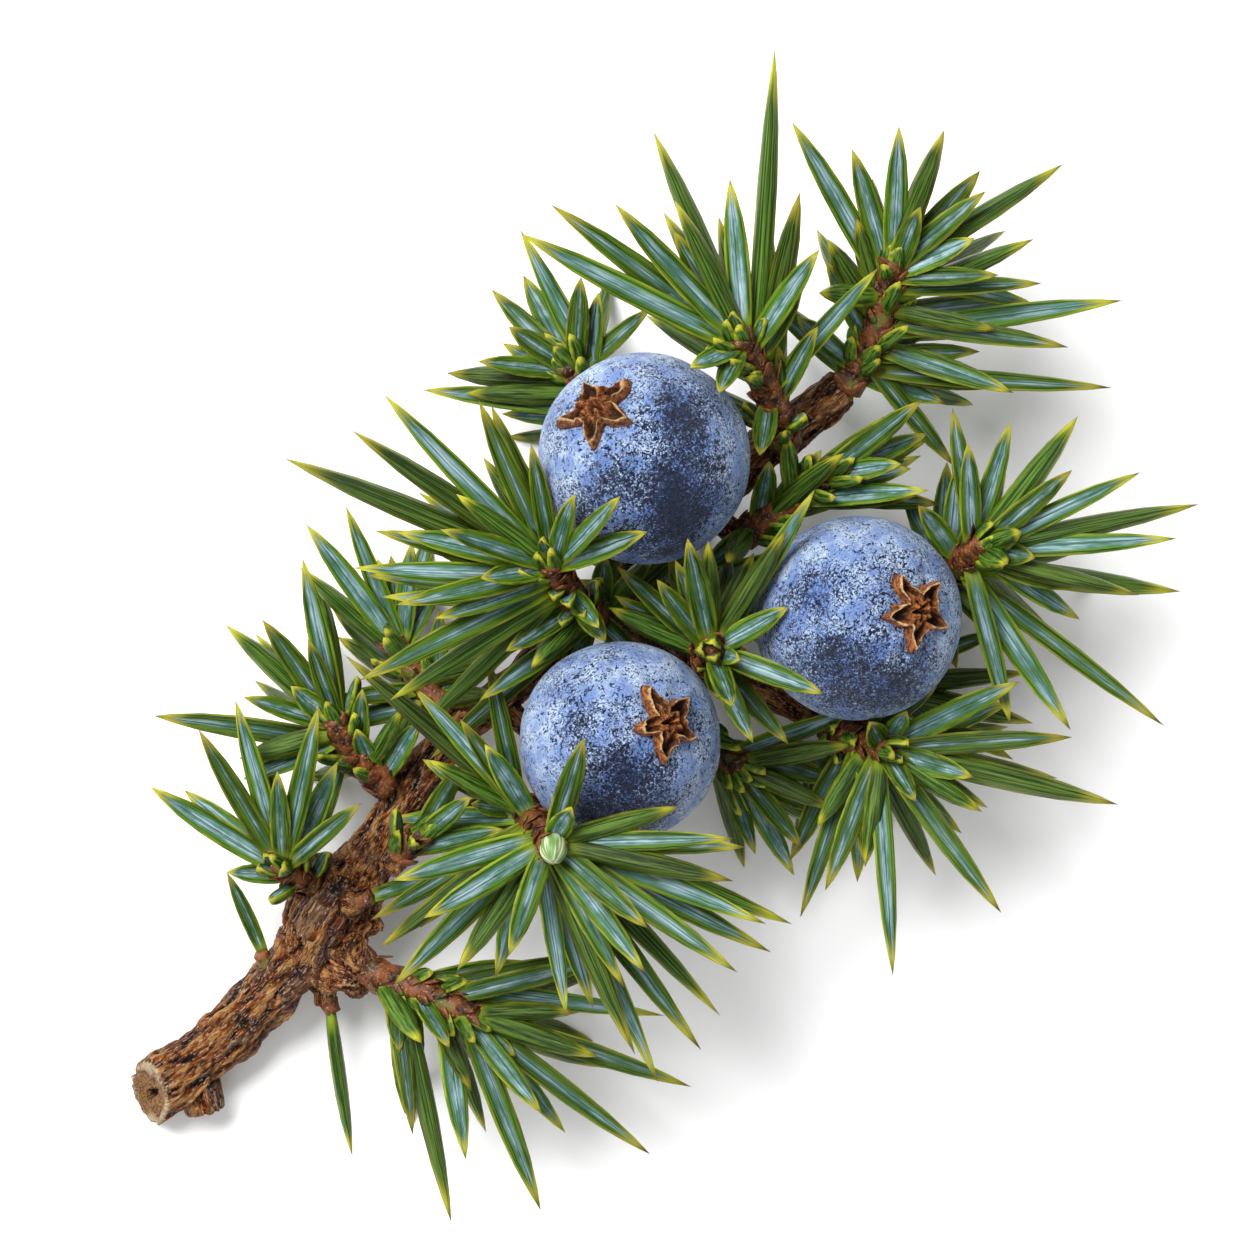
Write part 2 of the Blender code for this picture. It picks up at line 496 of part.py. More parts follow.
def berry_mesh(berry, swell=0.0):
    bm = bmesh.new()
    bmesh.ops.create_uvsphere(bm, u_segments=18, v_segments=12, radius=1)
    for corner in bm.verts:
        x, y, z = corner.co * (berry.radius + swell)
        z *= berry.stretch
        if corner.co.z > 0:
            z -= dimple(math.hypot(x, y), math.atan2(y, x))
        corner.co = (x, y, z)
    return turned(bm, berry)


def crown_mesh(berry):
    """A dry star of five lobes, each hollowed to a cup, round a small ring in the middle."""
    bm = bmesh.new()
    bmesh.ops.create_uvsphere(bm, u_segments=4 * CROWN_LOBES, v_segments=8, radius=1)
    for corner in bm.verts:
        turn = math.atan2(corner.co.y, corner.co.x)
        off_lobe = abs((turn * CROWN_LOBES / math.tau + 0.5) % 1 - 0.5) * 2
        outline = CROWN_WAIST + (CROWN_REACH - CROWN_WAIST) * (1 - off_lobe) ** 1.3
        share = math.hypot(corner.co.x, corner.co.y)
        reach = outline * share
        x, y = reach * math.cos(turn), reach * math.sin(turn)
        skin = math.sqrt(berry.radius ** 2 - reach ** 2) * berry.stretch - dimple(reach, turn)
        under = skin + GAP
        cup = CUP_DEPTH * math.exp(-((share - 0.68) / 0.2) ** 2) * (1 - off_lobe)
        ring = RING_HEIGHT * math.exp(-((share - 0.30) / 0.12) ** 2)
        over = under + CROWN_THICKNESS - cup + ring + RIM_RISE * share ** 2
        corner.co = (x, y, over if corner.co.z > 0.01 else under)
        if share > 0.99:
            corner.co.z = under + EDGE_RISE
    return turned(bm, berry)


def turned(bm, berry):
    """Turns a mesh whose crown looks up so that it looks the berry's way, at the berry."""
    turn = UP.rotation_difference(Vector(berry.crown_way))
    bmesh.ops.rotate(bm, cent=(0, 0, 0), matrix=turn.to_matrix(), verts=bm.verts)
    bmesh.ops.translate(bm, vec=berry.centre, verts=bm.verts)
    return bm


# ---- needles -------------------------------------------------------------------------------

Needle = namedtuple("Needle", "root ahead face length arch sweep")
EDGE = math.cos(math.radians(30))      # how far the edges of the straight needle stand out


def middle(needle, share):
    """A point of a needle's middle line: nearly straight, and bent level at the surface."""
    side = needle.ahead.cross(needle.face)
    bend = needle.arch * needle.face + needle.sweep * side
    point = needle.root + needle.length * (share * needle.ahead + share ** 2 * bend)
    above = NEEDLE_GIVE * (point.z - NEEDLE_REST)
    if above < 20:
        point.z = NEEDLE_REST + math.log1p(math.exp(above)) / NEEDLE_GIVE
    return point


def straight_needle():
    """The corners and faces of a needle before it is bent. It has three sides: its keel is at
    -Y and its edges are above, and Z counts its stations."""
    bm = straight_tube(3, len(NEEDLE_STATIONS))
    tip = [corner for corner in bm.verts if corner.co.z > 0.99]
    bmesh.ops.pointmerge(bm, verts=tip, merge_co=(0, 0, 1))
    keel = next(corner.co for corner in bm.verts if corner.co.z < 0.01)
    turn = Matrix.Rotation(math.atan2(-1, 0) - math.atan2(keel.y, keel.x), 3, "Z")
    bmesh.ops.rotate(bm, cent=(0, 0, 0), matrix=turn, verts=bm.verts)
    mesh = bpy.data.meshes.new("straight_needle")
    bm.to_mesh(mesh)
    bm.free()
    return mesh


def bent(corner, needle, swell=0.0):
    """Where a corner of the straight needle lies once the needle is bent and placed."""
    station = round(corner.z * (len(NEEDLE_STATIONS) - 1))
    share = NEEDLE_STATIONS[station]
    point = middle(needle, share)
    ahead = (middle(needle, share + 0.02) - middle(needle, share - 0.02)).normalized()
    side = ahead.cross(needle.face).normalized()
    up = side.cross(ahead)
    wide = NEEDLE_WIDTH / 2 * NEEDLE_SHARES[station] + swell
    tall = NEEDLE_FACE if corner.y > 0 else -NEEDLE_KEEL
    tall = tall * (0.35 + 0.65 * NEEDLE_SHARES[station]) + math.copysign(swell, corner.y)
    return point + corner.x / EDGE * wide * side + tall * up


def body_of(needle, shape, swell=0.0, from_station=0):
    """A needle's surface, swollen by the room it wants, to test for clashes."""
    lowest = from_station / (len(NEEDLE_STATIONS) - 1) - 0.01
    corners = [bent(corner.co, needle, swell) for corner in shape.vertices]
    faces = [face.vertices[:] for face in shape.polygons
             if all(shape.vertices[k].co.z > lowest for k in face.vertices)]
    return BVHTree.FromPolygons(corners, faces)


def clear_of(body, others):
    return not any(body.overlap(other) for other in others)


def ways_to_give():
    """Small turns and lifts that a needle may take, the smallest first."""
    steps = [GIVE_STEP * count for count in range(-GIVE_STEPS, GIVE_STEPS + 1)]
    ways = [(turn, lift) for turn in steps for lift in steps]
    return sorted(ways, key=lambda way: way[0] ** 2 + 1.3 * way[1] ** 2)


def wished_needles(shoot, draw):
    """Each needle of a shoot as it would grow with nothing in its way: its root, the way its
    shoot runs there, its bearing, rise and length, and how it curves and lies."""
    last = max(0, 1 - LAST_ROOT / length_of(shoot.route))
    for fan in shoot.fans:
        for index in range(fan.count):
            share = index / max(1, fan.count - 1)
            root, axis, _ = along(shoot.route, min(pick(fan.where, share), last))
            bearing = pick(fan.bearing, share) + draw.uniform(-STRAY_BEARING, STRAY_BEARING)
            rise = pick(fan.rise, share) + draw.uniform(-STRAY_RISE, STRAY_RISE)
            length = pick(fan.length, share) * draw.uniform(1 - STRAY_LENGTH, 1 + STRAY_LENGTH)
            curve = (draw.uniform(*ARCH), draw.uniform(*SWEEP))
            face_up = 1 if draw.random() < FACE_UP_SHARE and rise > LYING_RISE else -1
            yield root, axis, bearing, rise, length, curve, face_up


def aim(root, axis, bearing, rise, length, curve, face_up):
    """A needle in a given direction. Its face leans to the shoot's tip, and up or down."""
    bearing, rise = math.radians(bearing), math.radians(min(rise, 88))
    ahead = Vector((math.cos(bearing) * math.cos(rise), math.sin(bearing) * math.cos(rise),
                    math.sin(rise)))
    face = FACE_LEAN * axis + UP
    face = face_up * (face - face.dot(ahead) * ahead).normalized()
    return Needle(root + NEEDLE_SINK * ahead, ahead, face, length, *curve)


def settle(wish, shape, others, own):
    """Turns, lifts or shortens a needle until it is clear of what stands round it."""
    root, axis, bearing, rise, length, curve, face_up = wish
    for shorter in SHORTER:
        for turn, lift in ways_to_give():
            needle = aim(root, axis, bearing + turn, rise + lift, length * shorter, curve,
                         face_up)
            if not clear_of(body_of(needle, shape, GAP / 2), others):
                continue
            if clear_of(body_of(needle, shape, -SHARED_ROOT, 1), own):
                return needle
    return None


def grow_needles():
    """The needles of every shoot, each bent clear of the wood, the berries, the other shoots
    and the outer part of its own neighbours."""
    draw = random.Random(SEED)
    shape = straight_needle()
    solids = wood_tubes(GAP / 2, 0)
    for berry in BERRIES:
        solids.append(berry_mesh(berry, GAP / 2))
        solids.append(crown_mesh(berry))
    taken = [BVHTree.FromBMesh(bm) for bm in solids]
    cores = {shoot.name: BVHTree.FromBMesh(core_mesh(shoot)) for shoot in SHOOTS}
    grown = {}
    for shoot in SHOOTS:
        others = taken + [core for name, core in cores.items() if name != shoot.name]
        needles, own = [], []
        for wish in wished_needles(shoot, draw):
            needle = settle(wish, shape, others, own)
            if needle:
                needles.append(needle)
                own.append(body_of(needle, shape, -SHARED_ROOT, 1))
        taken += [body_of(needle, shape, GAP / 2) for needle in needles]
        grown[shoot.name] = needles
    for bm in solids:
        bm.free()
    return shape, grown


# ---- the pieces ----------------------------------------------------------------------------

def core_mesh(shoot):
    """A shoot's slim core."""
    steps = len(shoot.route) - 1
    girth = 0.5 + 0.5 * min(1, length_of(shoot.route) / CORE_REACH)
    radii = [girth * pick(CORE_RADII, index / steps) for index in range(steps + 1)]
    return tube(shoot.route, radii, 6, 2 * steps + 1)


def bud_mesh(shoot):
    """The closed bud at a shoot's tip."""
    bm = bmesh.new()
    bmesh.ops.create_uvsphere(bm, u_segments=6, v_segments=5, radius=shoot.bud)
    bmesh.ops.scale(bm, vec=(1, 1, BUD_STRETCH), verts=bm.verts)
    tip, ahead, _ = along(shoot.route, 1)
    turn = UP.rotation_difference(ahead).to_matrix()
    bmesh.ops.rotate(bm, cent=(0, 0, 0), matrix=turn, verts=bm.verts)
    bmesh.ops.translate(bm, vec=tip, verts=bm.verts)
    return bm


def make_shoot(shoot, needles, shape, home, floor):
    """A leafy shoot: its core, its bud and its needles, in one solid."""
    parts = new_collection(shoot.name + "_parts")
    if shoot.bud:
        add_object("bud", bud_mesh(shoot), parts)
    for needle in needles:
        bm = bmesh.new()
        bm.from_mesh(shape)
        for corner in bm.verts:
            corner.co = bent(corner.co, needle)
        add_object("needle", bm, parts)
    obj = add_object(shoot.name, core_mesh(shoot), home)
    return press(join(obj, parts), floor)


def make_wood(home):
    """The woody stem with its branches, twigs and stalks, in one solid."""
    parts = new_collection("wood_parts")
    first, *rest = wood_tubes()
    for bm in rest:
        add_object("branch", bm, parts)
    return join(add_object("woody_stem", first, home), parts)


def make_floor(cutters):
    """The surface that the sprig is pressed on, as a slab to cut with."""
    bm = bmesh.new()
    bmesh.ops.create_cube(bm, size=FLOOR_SIZE)
    bmesh.ops.translate(bm, vec=(0, 0, -FLOOR_SIZE / 2), verts=bm.verts)
    floor = add_object("floor", bm, cutters)
    floor.hide_render = True
    floor.display_type = "WIRE"
    return floor


def centre(pieces):
    """Moves the pieces level, until the origin is under the middle of them all."""
    places = [piece.location + corner.co for piece in pieces for corner in piece.data.vertices]
    for axis in (0, 1):
        reach = [place[axis] for place in places]
        middle_place = (min(reach) + max(reach)) / 2
        for piece in pieces:
            piece.location[axis] -= middle_place


def main():
    clear_scene()
    home = new_collection(NAME)
    cutters = new_collection("cutters")
    materials = {name: new_material(name, *look) for name, look in MATERIALS.items()}
    sprig = bpy.data.objects.new(NAME, None)
    home.objects.link(sprig)
    floor = make_floor(cutters)

    wood = make_wood(home)
    finish(wood, materials["bark"], WOODS["main_stem"].route[0], sprig, True)
    for berry in BERRIES:
        skin = add_object("berry_" + berry.name, berry_mesh(berry), home)
        finish(skin, materials["berry_skin"], berry.centre, sprig, True)
        crown = add_object("crown_" + berry.name, crown_mesh(berry), home)
        finish(crown, materials["crown"], berry.centre, sprig, False)
    shape, grown = grow_needles()
    for shoot in SHOOTS:
        obj = make_shoot(shoot, grown[shoot.name], shape, home, floor)
        finish(obj, materials["needles"], shoot.route[0], sprig, False)
    floor.data.transform(Matrix.Scale(MM, 4))
    centre([piece for piece in home.objects if piece.data])


main()
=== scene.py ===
"""Juniper berry sprig: bark, needles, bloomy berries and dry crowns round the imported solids.

Pieces are laid out in millimetres on the surface that the sprig lies on, grown from the same
routes and fans as the solids, and brought into the frame, in metres, as each one is finished.
"""

import math
import random
from collections import namedtuple

import bmesh
import bpy
import numpy as np
from mathutils import Matrix, Vector, noise
from mathutils.bvhtree import BVHTree


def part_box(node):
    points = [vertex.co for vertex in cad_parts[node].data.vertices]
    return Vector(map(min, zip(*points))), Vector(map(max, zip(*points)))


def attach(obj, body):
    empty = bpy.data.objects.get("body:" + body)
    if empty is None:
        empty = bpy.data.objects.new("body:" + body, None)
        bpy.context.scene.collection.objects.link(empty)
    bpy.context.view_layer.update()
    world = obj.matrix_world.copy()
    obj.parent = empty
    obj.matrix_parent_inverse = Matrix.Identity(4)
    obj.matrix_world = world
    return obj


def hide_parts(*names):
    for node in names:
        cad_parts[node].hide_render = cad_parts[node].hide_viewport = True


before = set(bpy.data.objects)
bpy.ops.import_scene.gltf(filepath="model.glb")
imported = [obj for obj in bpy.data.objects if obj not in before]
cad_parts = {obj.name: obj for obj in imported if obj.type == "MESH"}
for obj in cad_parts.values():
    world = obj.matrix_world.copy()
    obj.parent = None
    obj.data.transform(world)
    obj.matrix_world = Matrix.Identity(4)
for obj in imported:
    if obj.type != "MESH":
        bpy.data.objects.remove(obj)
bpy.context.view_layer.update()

MM = 0.001
SEED = 11
UP = Vector((0, 0, 1))

# ---- the dimensions that the solids grow by ------------------------------------------------

GAP = 0.3                 # between pieces that would touch

NEEDLE_WIDTH = 1.3        # across a needle at its widest
NEEDLE_FACE = 0.14        # how far a needle's face stands above its middle line
NEEDLE_KEEL = 0.48        # how far its keel stands below it
NEEDLE_STATIONS = (0.0, 0.35, 0.72, 1.0)      # where a needle has corners, from root to tip
NEEDLE_SHARES = (0.40, 1.0, 0.68, 0.0)        # how wide it is there
NEEDLE_LEAST = 0.35       # how deep it is where it has no width, as a share of its full depth
NEEDLE_SINK = 0.5         # from the middle of a shoot's core to a needle's root
NEEDLE_REST = 0.08        # middle line of a needle that is pressed on the surface
NEEDLE_GIVE = 4.0         # how sharply such a needle bends, per millimetre
LAST_ROOT = 0.7           # from the tip of a shoot's core to the roots of its last needles
FACE_LEAN = 0.45          # how far a needle's face leans to its shoot's tip
FACE_UP_SHARE = 0.7       # how many needles show their face from above
LYING_RISE = -35          # a needle that dips more than this lies on its face
STRAY_BEARING = 1         # how far a needle strays from its fan, in degrees
STRAY_RISE = 2
STRAY_LENGTH = 0.03       # and as a share of its length
ARCH = (-0.03, 0.05)      # how far it bends to its keel or its face, as a share of its length
SWEEP = (-0.03, 0.03)     # and to its sides
STEEPEST = 88             # and how steeply it may rise, in degrees
GIVE_STEP = 3             # how a needle turns to clear its neighbours, in degrees
GIVE_STEPS = 7            # and how many such steps it may take
LIFT_COST = 1.3           # how much rather it turns than lifts
SHORTER = (1, 0.85, 0.7)  # and how much shorter it may then grow
SHARED_ROOT = 0.12        # how deep needles of one shoot may overlap

CORE_RADII = (0.95, 0.7)  # of a long shoot's core, at its foot and at its tip
CORE_REACH = 4.0          # a shoot shorter than this is slimmer
CORE_LEAST = 0.5          # how slim the shortest would be, as a share of a long one
FOOT_RADII = (0.62, 0.52)        # of the twig that a shoot grows from
STALK_RADII = (0.6, 0.5, 0.5)    # of a berry's stalk
STALK_TOP = 0.9           # length of its straight top
WOOD_RING = 1.7           # from one ring of the wood's corners to the next
CUT_PLACE = (-33.2, 5.0, 1.65)      # of the slanting cut across the stem's foot
CUT_WAY = (-0.76, 0.41, 0.51)       # which way the cut looks

BERRY_SIDES, BERRY_RINGS = 18, 12
BERRY_DIMPLE = 0.5        # how deep a berry's skin sinks in round its crown
DIMPLE_REACH = 1.8        # and how far from the crown's middle
DIMPLE_FOLD = 0.25        # how much more it sinks beside a lobe
CROWN_LOBES = 5
CROWN_REACH = 1.9         # from a crown's middle to the points of its lobes
CROWN_WAIST = 0.92        # and to the notches between them
CROWN_POINT = 1.3         # how sharply a lobe narrows to its point
CROWN_THICKNESS = 0.62
CUP_DEPTH = 0.28          # of the hollow in each lobe
CUP_PLACE = 0.68          # the hollow's middle, as a share of the way out
CUP_REACH = 0.2
RING_HEIGHT = 0.30        # of the ring in the crown's middle
RING_PLACE = 0.30
RING_REACH = 0.12
RIM_RISE = 0.18           # how much the crown curls up to its edge
EDGE_RISE = 0.4           # from a crown's underside to its sharp edge

# A stretch of wood: its route, and its radius at each point of it.
Wood = namedtuple("Wood", "route radii sides")

WOODS = {
    "main_stem": Wood(((-34.7, 5.3, 1.65), (-30.6, 4.4, 1.8), (-26.8, 4.0, 2.3), (-22.5, 3.9, 3.4),
                       (-19.7, 4.5, 4.2), (-16.6, 4.8, 4.8), (-13.5, 5.5, 5.3), (-11.3, 5.8, 5.7),
                       (-8.9, 5.8, 6.0), (-4.6, 5.3, 6.5), (1.1, 5.0, 6.9), (6.4, 4.4, 7.2),
                       (11.0, 4.2, 7.8), (14.2, 3.7, 8.3), (17.1, 3.2, 8.8)),
                      (1.6, 1.45, 1.35, 1.6, 2.1, 1.3, 1.0, 0.95, 0.9, 0.9, 0.9, 0.9, 1.0, 1.05,
                       0.95), 9),
    "front_twig": Wood(((-16.6, 4.6, 5.0), (-12.8, 3.3, 6.2), (-9.9, 1.8, 7.4)),
                       (0.75, 0.65, 0.6), 8),
    "root_stub": Wood(((-21.6, 3.3, 3.6), (-21.4, 2.0, 4.2), (-21.1, 0.9, 4.7)),
                      (1.2, 1.15, 0.9), 8),
    "right_branch": Wood(((1.1, 5.0, 6.9), (1.5, 2.0, 6.6), (2.1, -1.2, 7.2), (3.1, -4.1, 5.8),
                          (4.1, -7.4, 5.4)), (0.75, 0.7, 0.7, 0.6, 0.6), 8),
    "right_fork": Wood(((2.8, -3.1, 6.2), (6.3, -5.4, 4.4), (10.9, -6.6, 4.4)),
                       (0.6, 0.55, 0.55), 8),
    "broken_knob": Wood(((-30.6, 4.4, 1.8), (-31.9, 2.3, 1.3)), (1.0, 0.9), 8),
}

# A leafy shoot grows from a place along a stretch of wood. Its needles come fan by fan, mostly in
# whorls of three: where along the shoot they root, how many there are, which way they point seen
# from above (degrees from +X), how steeply they rise, and how long they are. Several values are
# spread evenly over the fan, from its first needle to its last.
Shoot = namedtuple("Shoot", "name wood share route fans")
Fan = namedtuple("Fan", "where count bearing rise length")

SHOOTS = (
    Shoot("front_shoot", "front_twig", 1.0,
          ((-9.5, 1.3, 8.5), (-9.2, 0.4, 10.8), (-9.4, -1.5, 16.6)), (
        Fan(0.93, 2, (12, 24), (50, 24), (2.8, 5.6)),
        Fan(0.90, 3, (328, 314, 302), (16, 15), (6.4, 9.0, 9.2)),
        Fan((0.84, 0.88), 3, (272, 202, 165), 24, (6.7, 5.9, 7.0)),
        Fan((0.80, 0.84), 3, (292, 278, 262), (10, 14), (11.6, 11.4, 7.6)),
        Fan((0.74, 0.80), 3, (150, 176, 190), 14, (7.2, 10.4, 7.2)),
        Fan((0.66, 0.76), 3, (297, 285, 310), (0, 4), (12.5, 12.0, 9.6)),
        Fan((0.60, 0.70), 3, (229, 241, 251), 8, (8.9, 11.7, 8.0)),
        Fan((0.50, 0.60), 4, (268, 260, 252, 242), (-4, 0), (13.0, 13.6, 13.4, 9.0)),
        Fan((0.44, 0.56), 3, (165, 172, 195), (-8, -4), (9.2, 9.7, 6.7)),
        Fan((0.30, 0.44), 4, (91, 83, 78, 72), (4, 28), (12.0, 8.4, 6.2, 5.0)),
        Fan((0.14, 0.30), 3, (51, 122, 103), (10, 16), (7.2, 2.4, 5.3)),
        Fan((0.34, 0.46), 3, (140, 210), (-24, -22), 8.0),
        Fan((0.20, 0.50), 3, (170, 300), (-42, -40), (9.0, 11.0)))),
    Shoot("left_shoot", "main_stem", 0.664,
          ((0.6, 4.4, 8.8), (0.2, 5.7, 10.8), (0.8, 8.2, 14.6)), (
        Fan((0.90, 0.95), 3, (26, 6, 331), (42, 40), (5.0, 7.2, 5.9)),
        Fan((0.90, 0.95), 3, (94, 103, 142), 30, (6.1, 6.4, 3.6)),
        Fan((0.88, 0.95), 3, (88, 94, 68), (14, 10), (11.9, 11.9, 8.4)),
        Fan((0.84, 0.90), 3, (109, 101, 119), (6, 8), (13.8, 10.0, 7.3)),
        Fan((0.76, 0.86), 3, (131, 124, 138), (14, 12), (9.9, 8.8, 7.6)),
        Fan((0.60, 0.76), 3, (165, 158, 147), (12, 18), (10.2, 10.8, 6.4)),
        Fan((0.80, 0.90), 3, (58, 52, 67), (4, 10), (8.4, 6.4, 5.9)),
        Fan((0.20, 0.45), 3, (178, 167, 250), (30, 22), (4.3, 4.4, 2.7)),
        Fan((0.30, 0.60), 4, (110, 175), (-6, -10), (9.0, 10.0)),
        Fan((0.30, 0.60), 3, (66, 128), (-16, -18), (9.0, 10.0)),
        Fan((0.20, 0.40), 3, (80, 165), -38, 9.0))),
    Shoot("upper_shoot", "main_stem", 0.932,
          ((13.3, 3.8, 10.0), (14.5, 6.2, 12.4), (15.3, 8.8, 15.0)), (
        Fan(0.97, 2, (162, 185), 46, (3.7, 3.2)),
        Fan(0.70, 1, 38, 14, 15.2),
        Fan((0.90, 0.95), 2, (47, 65), 10, (7.6, 10.6)),
        Fan((0.86, 0.92), 3, (67, 76, 91), (16, 6), (7.9, 6.1, 5.0)),
        Fan((0.80, 0.92), 3, (97, 104, 90), (16, 8), (12.0, 12.4, 9.0)),
        Fan((0.60, 0.80), 3, (29, 14, 4), (20, 12), (8.9, 4.4, 6.2)),
        Fan((0.15, 0.40), 3, (42, 22, 1), (34, 26), (3.9, 5.0, 7.7)),
        Fan((0.55, 0.80), 3, (40, 75), -4, (7.0, 7.6)),
        Fan((0.60, 0.90), 3, (80, 105), (-2, -6), (6.0, 7.0)),
        Fan((0.40, 0.80), 3, (35, 105), (-24, -22), (8.0, 9.0)),
        Fan((0.20, 0.50), 3, (40, 100), -46, 10.0))),
    Shoot("middle_shoot", "right_branch", 0.44,
          ((2.7, -1.0, 9.2), (3.0, -0.7, 13.6)), (
        Fan((0.90, 0.95), 3, (336, 10, 302), (16, 10), (4.4, 6.8, 5.6)),
        Fan((0.80, 0.95), 3, (44, 52, 244), (26, 36), (5.4, 6.4, 3.3)),
        Fan((0.50, 0.80), 3, (6, 58, 72), (20, 26), (9.6, 4.9, 4.6)),
        Fan((0.20, 0.50), 3, (264, 89, 247), (10, 14), (5.4, 6.0, 4.6)),
        Fan((0.20, 0.40), 3, (20, 110), 0, 5.0))),
    Shoot("leader", "main_stem", 1.0,
          ((17.7, 3.2, 9.0), (19.8, 3.6, 9.6), (21.7, 4.6, 10.4), (23.5, 5.7, 11.4)), (
        Fan((0.96, 1.00), 3, (40, 33, 21), (24, 18), (7.1, 7.3, 4.5)),
        Fan((0.96, 1.00), 3, (11, 343, 352), 10, (6.1, 9.4, 6.0)),
        Fan((0.80, 0.95), 3, (26, 336, 343), (30, 22), (4.2, 4.4, 3.0)),
        Fan((0.74, 0.90), 3, (71, 58, 46), (8, 4), (9.5, 6.3, 5.5)),
        Fan((0.66, 0.84), 3, (335, 320, 309), 10, (7.4, 7.6, 5.5)),
        Fan((0.40, 0.60), 3, (321, 312, 302), (4, 10), (12.0, 9.2, 5.5)),
        Fan((0.10, 0.30), 3, (307, 316, 300), (4, 8), (12.0, 5.3, 7.0)),
        Fan((0.50, 0.70), 3, (76, 63, 120), (18, 14), (4.5, 4.4, 3.4)),
        Fan((0.04, 0.20), 3, (296, 288, 276), (-8, -12), (4.5, 6.4, 6.6)),
        Fan((0.50, 1.00), 3, (45, 0), -14, 6.4),
        Fan((0.20, 0.90), 3, (340, 300), (-24, -22), 7.6),
        Fan((0.10, 0.70), 3, (300, 345), (-52, -50), (10.0, 11.0)),
        Fan((0.10, 0.70), 3, (90, 45), (-48, -50), (9.0, 10.0)))),
    Shoot("right_shoot", "right_fork", 1.0,
          ((11.4, -6.6, 4.6), (13.6, -7.0, 6.8), (15.0, -7.1, 9.2), (16.2, -7.2, 10.4)), (
        Fan((0.90, 0.97), 3, (336, 313, 285), 40, (2.6, 2.6, 2.0)),
        Fan((0.84, 0.95), 3, (340, 4, 352), (18, 14), (9.4, 8.3, 6.0)),
        Fan((0.80, 0.90), 3, (24, 34, 44), (16, 12), (6.9, 5.4, 6.6)),
        Fan((0.84, 0.95), 3, (298, 315, 324), (10, 6), (8.1, 9.4, 10.8)),
        Fan((0.60, 0.80), 3, (276, 254, 236), (6, 10), (12.5, 9.5, 8.5)),
        Fan((0.70, 0.85), 3, (304, 328, 292), -4, (10.9, 6.9, 5.2)),
        Fan((0.40, 0.60), 3, (64, 37, 16), 6, (4.7, 5.3, 5.4)),
        Fan((0.50, 0.90), 3, (345, 290), -16, (5.8, 6.6)),
        Fan((0.40, 0.70), 2, (40, 5), -10, 5.4),
        Fan((0.20, 0.80), 4, (380, 270), -48, (10.0, 12.0)))),
    Shoot("low_right_shoot", "right_branch", 1.0,
          ((4.3, -8.2, 6.4), (4.9, -10.0, 8.7), (5.3, -10.8, 10.2)), (
        Fan((0.90, 0.97), 3, (255, 15, 53), 36, (3.3, 2.4, 2.6)),
        Fan((0.80, 0.95), 3, (340, 318, 299), (14, 8), (7.6, 9.0, 11.5)),
        Fan((0.80, 0.95), 3, (257, 280, 290), (12, 18), (10.0, 5.4, 4.6)),
        Fan((0.74, 0.84), 3, (226, 199, 212), (14, 12), (11.6, 7.4, 5.6)),
        Fan((0.60, 0.76), 3, (302, 322, 284), (0, 4), (9.3, 5.4, 5.6)),
        Fan((0.40, 0.60), 3, (205, 222, 190), (4, 0), (8.7, 5.6, 4.4)),
        Fan((0.30, 0.60), 3, (195, 250), -24, (7.0, 8.0)),
        Fan((0.40, 0.70), 3, (270, 330), (-22, -20), 7.4),
        Fan((0.20, 0.70), 3, (200, 320), -50, 10.0))),
    Shoot("inner_shoot", "main_stem", 0.824,
          ((8.8, 1.8, 8.2), (11.4, 1.2, 9.2), (13.8, 0.9, 10.4)), (
        Fan((0.80, 1.00), 3, (351, 344, 337), (26, 20), (6.9, 5.4, 4.0)),
        Fan((0.10, 0.50), 3, (353, 343, 56), (36, 30), (6.4, 4.4, 3.6)),
        Fan((0.50, 0.90), 3, (312, 323, 332), (8, 4), (5.6, 4.6, 5.6)),
        Fan((0.06, 0.20), 2, (31, 10), (40, 36), (3.8, 4.2)),
        Fan((0.10, 0.50), 3, (352, 330), (14, 8), (8.0, 7.0)),
        Fan((0.30, 1.00), 3, (340, 305), (-8, -12), (6.0, 7.0)),
        Fan((0.20, 0.90), 3, (330, 300), (-40, -46), (7.0, 8.0)))),
    Shoot("low_left_shoot", "main_stem", 0.254,
          ((-19.4, 6.4, 6.2), (-19.8, 8.0, 8.8)), (
        Fan((0.70, 1.00), 3, (101, 73, 59), (12, 14), (7.6, 8.1, 8.8)),
        Fan((0.80, 1.00), 3, (43, 34, 354), (26, 30), (5.0, 8.7, 5.9)),
        Fan((0.30, 0.60), 3, (129, 37, 18), (6, 10), (3.0, 4.4, 5.7)),
        Fan((0.30, 0.60), 3, (20, 95), -18, 6.6))),
    Shoot("side_left_shoot", "main_stem", 0.391,
          ((-13.1, 6.9, 6.2), (-13.0, 9.1, 7.0), (-12.3, 11.0, 8.0)), (
        Fan((0.84, 1.00), 3, (75, 54, 89), (14, 10), (6.6, 8.1, 7.3)),
        Fan((0.84, 1.00), 3, (93, 62, 104), (26, 22), (3.0, 4.6, 4.7)),
        Fan((0.60, 0.80), 3, (123, 156, 146), (2, 4), (9.4, 5.2, 4.8)),
        Fan((0.10, 0.40), 3, (63, 10, 40), (44, 38), (3.0, 4.0, 3.6)),
        Fan((0.40, 0.90), 3, (120, 50), (-24, -20), (6.6, 7.6)),
        Fan((0.30, 0.80), 3, (140, 60), -50, (9.0, 10.0)))),
    Shoot("back_left_shoot", "main_stem", 0.503,
          ((-8.3, 7.2, 5.6), (-8.0, 9.2, 5.5), (-7.5, 11.4, 5.6)), (
        Fan((0.70, 1.00), 3, (64, 74, 36), (8, 12), (8.2, 7.6, 5.4)),
